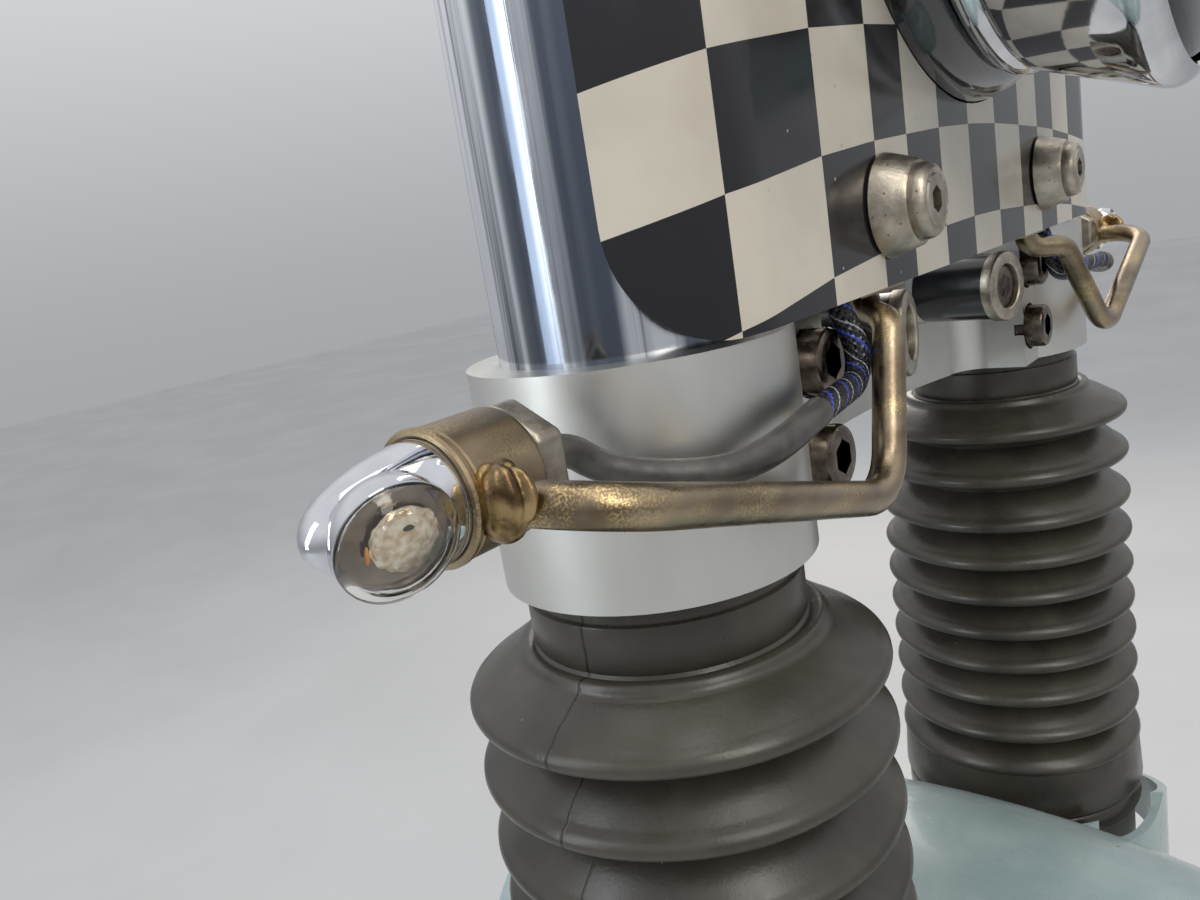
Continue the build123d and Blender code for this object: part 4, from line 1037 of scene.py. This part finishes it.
@dataclass
class Leg:
    """One fork leg: tube, cap, gaiter and slider."""

    side: Side
    x: float = 45.0
    y: float = 103.0
    tube_od: float = 48.0
    tube_wall: float = 3.0
    seat_od: float = 46.0
    seat: float = 34.0
    lips: tuple[float, ...] = (-148.2, -163.1, -178.5, -191.7, -204.3, -216.7, -228.9, -241.3, -254.9)
    tip_r: float = 41.4
    lip: float = 2.3
    root_r: float = 31.0
    root_share: float = 0.4
    bore_r: float = 26.0
    neck_r: float = 26.9
    ring_r: float = 30.0
    neck_top: float = -126.0
    neck_foot: float = -138.5
    collar_r: float = 41.75
    collar_bore_r: float = 38.9
    collar_top: float = -268.0
    collar_foot: float = -286.0
    foot: float = -294.3

    def at_leg(self, z: float = 0.0) -> Vector:
        """A point on the leg's axis."""
        return at(self.x, self.side.sign * self.y, z)

    def tube(self) -> None:
        """Chromed tube with its handlebar seat."""
        node = f"fork_tube_{self.side.word}"
        low, high = box_mm(node)
        r, seat_r = self.tube_od / 2, self.seat_od / 2
        inner = r - self.tube_wall
        shoulder = high.z - self.seat
        profile = [(low.z, inner), (low.z, r - 0.8), (low.z + 0.8, r), (shoulder - 0.6, r),
                   (shoulder, r - 0.6), (shoulder, seat_r), (high.z - 0.8, seat_r), (high.z, seat_r - 0.8),
                   (high.z, inner)]
        bm = turned(profile, self.at_leg(), UP, 128, ring=True)
        piece(f"{node}_chromed", bm, TUBE, [node])

    def fold(self, tip: float, above: float, root: float) -> list[tuple[float, float]]:
        """One fold of the gaiter, from the root above it to the root below.

        Args:
            tip: The height of the lip's middle.
            above: The height of the root above.
            root: The radius there.

        Returns:
            Heights and radii down the fold.
        """
        start, r = tip + self.lip, self.tip_r
        slope = ((0.0, 0.0), (0.08, 0.11), (0.24, 0.29), (0.43, 0.49), (0.62, 0.67), (0.8, 0.83),
                 (0.93, 0.94))
        drop, rise = start - above, r - self.lip - root
        points = [(above + drop * down, root + rise * share) for down, share in slope]
        lip = ((self.lip, -self.lip), (1.75, -1.25), (1.1, -0.5), (0.35, -0.08), (-0.4, 0.0), (-1.1, -0.2),
               (-1.7, -0.65), (-2.1, -1.3), (-2.25, -2.1), (-2.3, -3.2), (-2.6, -5.0), (-3.1, -6.8),
               (-3.8, -8.6), (-4.4, -9.8))
        return points + [(tip + dz, r + dr) for dz, dr in lip]

    def gaiter(self) -> None:
        """Rubber bellows from the band under the yoke to the collar on the slider."""
        node = f"gaiter_{self.side.word}"
        inner = self.tube_od / 2 + 0.5
        profile = [(self.neck_top - 0.2, inner), (self.neck_top - 0.2, self.neck_r - 1.2),
                   (self.neck_top - 0.8, self.neck_r - 0.9), (self.neck_top - 3.6, self.neck_r - 0.9),
                   (self.neck_top - 3.9, self.neck_r - 0.1), (self.neck_top - 4.3, self.neck_r),
                   (self.neck_foot + 0.4, self.neck_r), (self.neck_foot - 0.3, self.neck_r - 0.3),
                   (self.neck_foot - 0.9, self.neck_r + 0.2), (self.neck_foot - 0.6, self.neck_r + 0.9),
                   (self.neck_foot - 0.5, self.ring_r - 0.7), (self.neck_foot - 0.9, self.ring_r - 0.1),
                   (self.neck_foot - 1.7, self.ring_r + 0.1)]
        above, root = self.neck_foot - 2.5, self.ring_r + 0.6
        for tip, following in zip(self.lips, (*self.lips[1:], self.collar_top)):
            profile += self.fold(tip, above, root)
            root = self.root_r
            above = tip + (following - tip) * self.root_share
        top, foot, r = self.collar_top, self.collar_foot, self.collar_r
        profile += [(above, self.root_r), (top + 5.2, self.root_r + 4.5), (top + 3.6, r - 3.0),
                    (top + 2.0, r - 1.2), (top + 0.8, r - 0.5), (top - 0.2, r - 0.3), (top - 0.9, r - 0.7),
                    (top - 1.2, r - 1.2), (top - 1.8, r - 1.1), (top - 2.6, r - 0.9), (foot + 1.0, r - 0.1),
                    (foot + 0.3, r - 0.4), (foot, r - 1.2), (foot - 0.5, r - 2.2), (foot - 1.1, r - 1.2),
                    (foot - 1.6, r - 0.8), (self.foot + 0.7, r - 0.8), (self.foot, r - 1.5),
                    (self.foot, self.collar_bore_r), (top + 0.5, self.collar_bore_r),
                    (top + 0.5, self.bore_r), (self.neck_foot, self.bore_r), (self.neck_foot, inner)]
        finish = GaiterRubber(f"gaiter_rubber_{self.side.word}", (0.037, 0.033, 0.0255), (0.068, 0.06, 0.047),
                              0.0, (0.25, 0.37), 45.0, grain=1300.0, bump=0.03, dust_share=0.1,
                              dust_scale=190.0, dust_size=0.07, dust=(0.22, 0.2, 0.18), seam_width=0.35,
                              leg=(self.x, self.side.sign * self.y), seam_angle=self.side.sign * 88.0)
        bm = turned(profile, self.at_leg(), UP, 128, ring=True)
        piece(f"{node}_bellows", bm, finish, [node], crease=50.0)

    def build(self) -> None:
        """Makes the leg's pieces."""
        self.tube()
        self.gaiter()
        machined(f"fork_cap_{self.side.word}", BOSS_BLACK, 0.6)
        machined(f"slider_{self.side.word}", ALLOY, 1.2, 3)


@dataclass
class Yokes:
    """Both yokes with their pinch bolts and the bosses in front."""

    lug_front: float = 66.3
    stand: float = 5.2
    head_r: float = 6.5
    bolt_y: float = 74.5
    heights: tuple[float, ...] = (-95.3, -114.4, 108.0)
    toe_in: float = 11.0
    boss_y: float = 36.0
    boss_z: float = -96.8
    boss_front: float = 72.0

    def pinch_bolts(self, side: Side) -> None:
        """Socket cap screws that close the clamps on one side.

        Args:
            side: The side.
        """
        r, top = self.head_r, self.stand
        heads = []
        for z in self.heights:
            origin = at(self.lug_front, side.sign * self.bolt_y, z)
            profile = [(top, 4.3), (top, r - 1.0), (top - 0.35, r - 0.35), (top - 1.0, r), (-2.6, r),
                       (-2.8, 0.0)]
            heads.append(socket_head(profile, origin, FORWARD, 6.2, 4.4))
            shank = [(-40.3, 0.0), (-40.3, 3.4), (-39.7, 4.0), (-2.7, 4.0), (-2.7, 0.0)]
            heads.append(turned(shank, origin, FORWARD, 32))
        piece(f"pinch_screws_{side.word}", join(heads), DARK_STEEL,
              [f"pinch_bolts_{side.word}"])

    def boss(self, side: Side) -> None:
        """Black spacer with its bright ring and recessed bolt.

        Args:
            side: The side.
        """
        word = side.word
        machined(f"yoke_boss_{word}", BOSS_BLACK, 0.4, 3)
        turn = math.radians(self.toe_in)
        out = Vector((math.cos(turn), -side.sign * math.sin(turn), 0))
        front = at(self.boss_front, side.sign * self.boss_y, self.boss_z)
        ring = [(0.0, 6.4), (0.0, 8.6), (-0.3, 9.3), (-0.9, 9.65), (-3.2, 9.65), (-3.2, 6.0), (-0.8, 6.0),
                (-0.3, 6.1)]
        piece(f"boss_ring_{word}", turned(ring, front, out, 64, ring=True), PLATED,
              [f"yoke_boss_ring_{word}"])
        head = [(0.0, 3.9), (0.0, 5.0), (-0.3, 5.6), (-0.8, 5.8), (-5.8, 5.8), (-6.0, 3.5), (-51.5, 3.5),
                (-51.5, 0.0)]
        piece(f"boss_screw_{word}", socket_head(head, front - out * 1.2 * MM, out, 6.0, 3.6), DARK_STEEL,
              [f"yoke_boss_bolt_{word}"])

    def build(self) -> None:
        """Makes the yokes and what is screwed to them."""
        machined("lower_yoke", ALUMINIUM, 0.7, 3)
        machined("upper_yoke", ALUMINIUM, 0.7, 3)
        for side in Side:
            self.pinch_bolts(side)
            self.boss(side)


@dataclass
class LampPanel:
    """Chequered panel with its cones, screws and brackets."""

    front: float = 77.0
    cone_height: float = 7.0
    leg_x: float = 45.0
    leg_y: float = 103.0
    reach: float = 32.0
    row: float = 21.1
    row_line: float = -53.8
    rows_added: float = 21.0
    bolt_y: float = 55.57
    bolt_heights: tuple[float, float] = (-68.5, 76.5)
    columns: tuple[float, ...] = (-150.0, -134.2, -113.2, -82.0, -58.7, -42.3, -23.2, -3.8, 16.2, 36.6, 53.9,
                                  70.1, 87.4, 108.0, 129.0, 150.0)
    droop: tuple[tuple[float, float], ...] = ((0.0, 0.0), (20.0, -0.3), (40.0, -1.2), (60.0, -2.2),
                                              (82.0, -4.0), (113.0, -8.0), (150.0, -15.0))

    def run(self, place: Vector) -> float:
        """How far round the panel a point lies from its middle, in millimetres.

        Args:
            place: The point, in metres.

        Returns:
            The distance, less than zero on the right.
        """
        x, y = place.x / MM, place.y / MM
        if abs(y) <= self.leg_y:
            return y
        return math.copysign(self.leg_y + self.reach * math.atan2(abs(y) - self.leg_y, x - self.leg_x), y)

    def squares(self, place: Vector) -> tuple[float, float]:
        """Where a point lies in the pattern.

        Args:
            place: The point, in metres.

        Returns:
            How many squares it lies along the panel and up it.
        """
        run = self.run(place)
        i = min(max(bisect_right(self.columns, run) - 1, 0), len(self.columns) - 2)
        share = (run - self.columns[i]) / (self.columns[i + 1] - self.columns[i])
        knots = self.droop
        k = max(j for j, (start, drop) in enumerate(knots[:-1]) if start <= abs(run))
        (a, low), (b, high) = knots[k], knots[k + 1]
        drop = low + (high - low) * (abs(run) - a) / (b - a)
        return i - 1 + share, (place.z / MM - self.row_line - drop) / self.row + self.rows_added

    def panel(self) -> None:
        """The panel itself, cut along the pattern's lines so that its squares stay true."""
        bm = merged("headlamp_panel")
        soften(bm, 0.5, 2)
        for line in self.columns[1:-1]:
            geom = list(bm.verts) + list(bm.edges) + list(bm.faces)
            if abs(line) < self.leg_y:
                bmesh.ops.bisect_plane(bm, geom=geom, plane_co=at(0, line, 0), plane_no=(0, 1, 0))
                continue
            sign = math.copysign(1.0, line)
            turn = (abs(line) - self.leg_y) / self.reach
            faces = [f for f in bm.faces if f.calc_center_median().y * sign > self.leg_y * MM]
            verts = {v for f in faces for v in f.verts}
            edges = {e for f in faces for e in f.edges}
            part = list(verts) + list(edges) + faces
            bmesh.ops.bisect_plane(bm, geom=part, plane_co=at(self.leg_x, sign * self.leg_y, 0),
                                   plane_no=(-math.sin(turn), sign * math.cos(turn), 0))
        layer = bm.loops.layers.uv.new("chequer")
        for face in bm.faces:
            middle = face.calc_center_median()
            outwards = FORWARD
            if abs(middle.y) > self.leg_y * MM:
                side_y = math.copysign(self.leg_y * MM, middle.y)
                outwards = Vector((middle.x - self.leg_x * MM, middle.y - side_y, 0))
            face.material_index = int(face.normal.dot(outwards) < -0.3 * outwards.length)
            for loop in face.loops:
                loop[layer].uv = self.squares(loop.vert.co)
        made = piece("chequered_panel", bm, CHEQUER, ["headlamp_panel"], flat_faces=True)
        made.data.materials.append(ENAMEL.material())

    def fixings(self, side: Side) -> None:
        """Cones with button-head screws, and the brackets behind the panel.

        Args:
            side: The side.
        """
        word = side.word
        cones, screws = [], []
        for z in self.bolt_heights:
            base = at(self.front, side.sign * self.bolt_y, z)
            cone = [(0.0, 4.0), (0.0, 9.7), (0.5, 10.25), (1.2, 10.1), (6.5, 8.3), (self.cone_height, 7.8),
                    (self.cone_height, 4.0)]
            cones.append(turned(cone, base, FORWARD, 64, ring=True))
            head = [(3.0, 3.3), (3.05, 4.6), (2.75, 5.0), (2.75, 5.6), (3.0, 6.0), (2.6, 6.7), (1.7, 7.2),
                    (0.8, 7.35), (0.0, 7.3), (0.0, 4.0), (-12.5, 4.0), (-12.5, 0.0)]
            seat = at(self.front + self.cone_height, side.sign * self.bolt_y, z)
            screws.append(socket_head(head, seat, FORWARD, 4.6, 2.4))
        piece(f"cones_{word}", join(cones), PLATED, [f"panel_cones_{word}"])
        piece(f"button_screws_{word}", join(screws), PLATED, [f"panel_bolts_{word}"])
        machined(f"panel_bracket_{word}", PLATED, 0.4)

    def build(self) -> None:
        """Makes the panel and its fixings."""
        self.panel()
        for side in Side:
            self.fixings(side)


@dataclass
class Headlamp:
    """Bucket, rim, glass and reflector about the lamp's axis."""

    z: float = 19.0
    bucket_r: float = 68.0
    rim_r: float = 73.5
    rim_back: float = 86.0
    rim_front: float = 123.0

    def build(self) -> None:
        """Turns the lamp's four pieces."""
        axis, origin, r = FORWARD, at(0, 0, self.z), self.bucket_r
        shell = [(43.0, 0.0), (43.0, 30.0), (43.4, 33.0), (44.6, 36.6), (47.5, 42.5), (52.0, 50.5),
                 (57.0, 58.5), (61.0, 64.3), (63.5, 67.0), (66.0, 67.9), (68.5, r), (77.6, r),
                 (79.6, r - 0.25), (81.4, r - 0.9), (83.2, r - 1.75), (84.8, r - 3.4), (85.7, r - 5.0),
                 (86.0, r - 6.0), (86.0, r - 8.0), (82.4, r - 3.9), (78.0, r - 2), (66.0, r - 2),
                 (58.0, 57.5), (45.0, 33.0), (45.0, 0.0)]
        piece("lamp_bucket", turned(shell, origin, axis, 128), LAMP_BLACK,
              ["headlamp_bucket"])
        back, front, rim = self.rim_back, self.rim_front, self.rim_r
        hoop = [(back, 61.0), (back, 62.6), (back + 0.4, 63.5), (back + 1.4, 64.3), (back + 2.6, 64.55),
                (back + 3.9, 64.3), (back + 4.7, 63.7), (back + 5.2, 63.5), (back + 5.8, 64.1),
                (back + 9.0, 65.4), (back + 14.0, 67.3), (back + 19.0, 69.1), (back + 24.0, 70.9),
                (back + 28.0, 72.4), (back + 30.5, 73.3), (back + 32.2, rim), (front - 3.4, rim - 0.35),
                (front - 1.9, rim - 1.2), (front - 0.6, rim - 2.4), (front, rim - 3.5),
                (front - 0.9, rim - 4.5), (front - 3.4, rim - 4.0), (front - 6.5, rim - 3.2),
                (back + 24.0, 68.6), (back + 16.65, 66.2), (back + 6.0, 62.6)]
        piece("lamp_rim", turned(hoop, origin, axis, 160, ring=True), CHROME,
              ["headlamp_rim"])
        glass = [(118.6, 0.0), (118.5, 68.0), (121.3, 68.0), (122.4, 66.8), (124.5, 57.5), (126.2, 40.0),
                 (127.3, 19.0), (127.5, 0.0)]
        piece("lamp_glass", turned(glass, origin, axis, 128), GLASS, ["headlamp_lens"])
        bowl = [(57.0, 0.0), (58.5, 14.0), (63.0, 28.0), (70.5, 40.0), (81.0, 49.5), (94.0, 56.5),
                (108.0, 61.0), (117.9, 62.0), (117.9, 63.9), (108.0, 63.0), (93.0, 58.5), (79.5, 51.5),
                (68.5, 41.5), (60.8, 29.0), (56.5, 15.0), (55.0, 0.0)]
        piece("lamp_reflector", turned(bowl, origin, axis, 96), MIRROR,
              ["headlamp_reflector"])


@dataclass
class Indicator:
    """One indicator: bracket, weld, collar, nut, bullet body, lens and lead."""

    side: Side
    x: float = 60.5
    z: float = -93.4
    inner_y: float = 155.8
    collar_r: float = 9.15
    collar_bore_r: float = 8.2
    collar_length: float = 13.7
    nut_corner_r: float = 9.2
    nut_length: float = 5.5
    body_r: float = 8.3
    tip_y: float = 187.8
    led_r: float = 4.25
    led_flatness: float = 0.3
    facet_scale: float = 620.0
    facet_depth: float = 0.7
    lump_scale: float = 320.0
    lump_depth: float = 0.3
    weld_grain: float = 0.22
    weld_melts: int = 14
    lens: Point = (67.5, 179.6, -95.3)
    lens_faces: Point = (0.893, 0.251, -0.372)
    lead_r: float = 2.4
    sleeved: float = 0.45
    lead: tuple[Point, ...] = ((60.5, 150.3, -93.4), (60.5, 142.5, -93.4), (61.5, 136.5, -98.4),
                               (67.0, 132.5, -100.9), (74.5, 125.5, -102.6), (78.2, 119.5, -102.2),
                               (80.6, 113.0, -100.8), (81.5, 104.0, -98.6), (80.0, 91.0, -98.4),
                               (75.6, 73.6, -99.7), (74.9, 70.8, -92.5), (71.3, 71.3, -84.4),
                               (70.0, 72.5, -69.4), (68.5, 65.5, -58.4), (68.0, 53.5, -58.9),
                               (68.5, 43.3, -54.6), (68.5, 34.66, -39.85))

    def outward(self) -> Vector:
        """The way out along the indicator's axis."""
        return Vector((0, self.side.sign, 0))

    def at_axis(self, y: float) -> Vector:
        """A point on the indicator's axis."""
        return at(self.x, self.side.sign * y, self.z)

    def collar(self) -> None:
        """Ring with a raised lip at its outer end, and the nut behind it."""
        word, r, end = self.side.word, self.collar_r, self.collar_length
        ring = [(0.0, self.collar_bore_r), (0.0, r - 0.5), (0.4, r - 0.15), (1.0, r), (end - 2.0, r),
                (end - 1.75, r - 0.2), (end - 1.5, r - 0.05), (end - 1.1, r + 0.25), (end - 0.5, r + 0.25),
                (end - 0.1, r - 0.05), (end, r - 0.6), (end - 0.3, self.collar_bore_r)]
        piece(f"collar_{word}", turned(ring, self.at_axis(self.inner_y), self.outward(), 96, ring=True),
              BRONZE, [f"indicator_collar_{word}"])
        bm = bmesh.new()
        corner = self.nut_corner_r * MM
        bmesh.ops.create_cone(bm, cap_ends=True, segments=6, radius1=corner, radius2=corner,
                              depth=self.nut_length * MM)
        soften(bm, 1.1, 4, 20.0)
        middle = self.at_axis(self.inner_y - self.nut_length / 2)
        bmesh.ops.transform(bm, matrix=aim(middle, self.outward()), verts=bm.verts)
        piece(f"nut_{word}", bm, PLATED, [f"indicator_nut_{word}"], flat_faces=True)

    def bullet(self) -> None:
        """Chromed bullet with a round seat for the lens on its front."""
        word, r = self.side.word, self.body_r
        x, y, z = self.lens
        middle = at(x, self.side.sign * y, z)
        faces = Vector(self.lens_faces)
        normal = Vector((faces.x, self.side.sign * faces.y, faces.z)).normalized()
        length, end = self.tip_y - self.inner_y, self.collar_length
        profile = [(0.0, 0.0), (0.0, r - 0.2), (end, r - 0.2), (end + 0.5, r - 0.15), (end + 2.5, r - 0.2),
                   (end + 5.5, r - 0.6), (end + 8.5, r - 1.2), (end + 11.5, r - 2.1), (end + 14.0, r - 3.15),
                   (end + 16.0, r - 4.4), (end + 17.2, r - 5.7), (end + 18.0, r - 7.1), (length, 0.0)]
        bm = turned(profile, self.at_axis(self.inner_y), self.outward(), 96)
        cutter = turned([(-2.2, 0.0), (-2.2, 7.5), (-0.4, 7.5), (-0.4, 30.0), (30.0, 30.0), (30.0, 0.0)],
                        middle, normal, 96)
        plug = turned([(0.1, 0.0), (0.1, r - 0.15), (end + 0.2, r - 0.15), (end + 0.5, r - 0.5),
                       (end + 0.5, 0.0)], self.at_axis(self.inner_y), self.outward(), 96)
        cup = turned([(-2.7, 0.0), (-2.7, 7.35), (-1.9, 7.35), (-1.3, 7.45), (-1.2, 7.7), (-1.4, 7.9),
                      (-2.6, 7.9), (-4.8, 7.5), (-6.4, 5.6), (-6.4, 0.0)], middle, normal, 96)
        piece(f"bullet_{word}", join([carved(bm, cutter), plug, cup]), CHROME,
              [f"indicator_body_{word}"], crease=40.0)
        seat = [(-2.1, 0.0), (-2.1, 6.6), (-1.7, 7.1), (-1.6, 7.3), (-2.6, 7.3), (-2.6, 0.0)]
        piece(f"lens_seat_{word}", turned(seat, middle, normal, 96), SEAT)
        lens = [(1.5, 0.0), (1.38, 2.2), (1.0, 4.1), (0.3, 5.7), (-0.5, 6.6), (-1.2, 7.1), (-1.25, 7.85),
                (-0.5, 7.85), (0.0, 7.6), (0.7, 6.5), (1.35, 4.6), (1.8, 2.5), (1.95, 0.0)]
        piece(f"lens_{word}", turned(lens, middle, normal, 96), CLEAR, [f"indicator_lens_{word}"])
        self.cluster(aim(middle, normal))

    def cluster(self, placing: Matrix) -> None:
        """Faceted disc of light-emitting diodes, with an amber sliver beside it and a dark spot on it.

        Args:
            placing: Stands at the lens's middle, with its Z the way that the lens faces.
        """
        word = self.side.word
        disc = bmesh.new()
        bmesh.ops.create_icosphere(disc, subdivisions=4, radius=self.led_r * MM)
        for v in disc.verts:
            cells = noise.voronoi(v.co * self.facet_scale)[0]
            v.co += v.normal * ((cells[1] - cells[0]) * self.facet_depth * MM)
        bmesh.ops.scale(disc, vec=(1, 1, self.led_flatness), verts=disc.verts)
        lay = placing @ Matrix.Translation(at(0.7, 0.5, -1.2))
        bmesh.ops.transform(disc, matrix=lay, verts=disc.verts)
        piece(f"led_cluster_{word}", disc, LED, [f"indicator_leds_{word}"], crease=8.0)
        for name, finish, spot, size in (("amber_sliver", AMBER, (-4.0, -0.3, -1.2), (0.3, 1.3, 0.5)),
                                         ("dark_die", BOSS_BLACK, (0.9, 2.5, -0.3), (1.0, 0.55, 0.4))):
            bud = bmesh.new()
            bmesh.ops.create_icosphere(bud, subdivisions=3, radius=MM)
            bmesh.ops.scale(bud, vec=size, verts=bud.verts)
            bmesh.ops.transform(bud, matrix=placing @ Matrix.Translation(at(*spot)), verts=bud.verts)
            piece(f"{name}_{word}", bud, finish)

    def weld(self) -> None:
        """Lumpy weld between the rod's end and the collar, run together into one bead."""
        lumps = []
        table = (((72.2, 167.3, -93.2), (3.1, 1.7, 4.5)), ((73.4, 165.7, -93.2), (2.8, 1.2, 3.7)),
                 ((71.3, 165.6, -90.2), (2.0, 1.6, 1.7)), ((71.6, 166.9, -96.6), (2.8, 2.4, 2.4)),
                 ((69.2, 166.2, -94.2), (2.4, 2.6, 5.2)))
        for k, (spot, size) in enumerate(table):
            lump = bmesh.new()
            bmesh.ops.create_icosphere(lump, subdivisions=4, radius=MM)
            bmesh.ops.scale(lump, vec=size, verts=lump.verts)
            bmesh.ops.translate(lump, vec=at(spot[0], self.side.sign * spot[1], spot[2]), verts=lump.verts)
            for v in lump.verts:
                rough = noise.noise(v.co * self.lump_scale + Vector((k * 3.1, 0, 0)))
                v.co += v.normal * (rough * self.lump_depth * MM)
            lumps.append(lump)
        made = piece(f"weld_{self.side.word}", join(lumps), WELD, crease=180.0)
        skin = made.modifiers.new("skin", "REMESH")
        skin.mode = "VOXEL"
        skin.voxel_size = self.weld_grain * MM
        skin.use_smooth_shade = True
        melt = made.modifiers.new("melt", "SMOOTH")
        melt.iterations = self.weld_melts

    def leads(self) -> None:
        """Grey sleeve from the nut, then the braided length to its grommet."""
        word = self.side.word
        line = nurbs_line(self.lead, self.side.sign)
        cut = int(len(line) * self.sleeved)
        piece(f"lead_braid_{word}", sleeve("braid", line[cut - 2:], self.lead_r, 24), BRAID,
              [f"indicator_lead_{word}"])
        piece(f"lead_sleeve_{word}", sleeve("braid", line[:cut], self.lead_r + 0.15, 24), SLEEVE)
        machined(f"lead_grommet_{word}", BOSS_BLACK, 0.5, 3)

    def build(self) -> None:
        """Makes the indicator's pieces."""
        dress(f"indicator_bracket_{self.side.word}", RAW_ROD)
        self.collar()
        self.bullet()
        self.weld()
        self.leads()


@dataclass
class Mudguard:
    """Pale painted mudguard and its screws."""

    def build(self) -> None:
        """Makes the guard with broken edges."""
        machined("mudguard", PAINT, 0.9, 3)
        for side in Side:
            machined(f"mudguard_wing_{side.word}", PAINT, 0.9, 3)
            machined(f"mudguard_bolts_{side.word}", DARK_STEEL, 0.4)


def main() -> None:
    """Builds the studio and the fork."""
    logging.basicConfig(level=logging.INFO, format="%(message)s")
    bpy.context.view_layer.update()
    Studio().build()
    parts = [SteeringHead(), *(Leg(side) for side in Side), Yokes(), LampPanel(), Headlamp(),
             *(Indicator(side) for side in Side), Mudguard()]
    for part in parts:
        part.build()
        LOG.info("%s done", type(part).__name__)


if __name__ == "__main__":
    main()
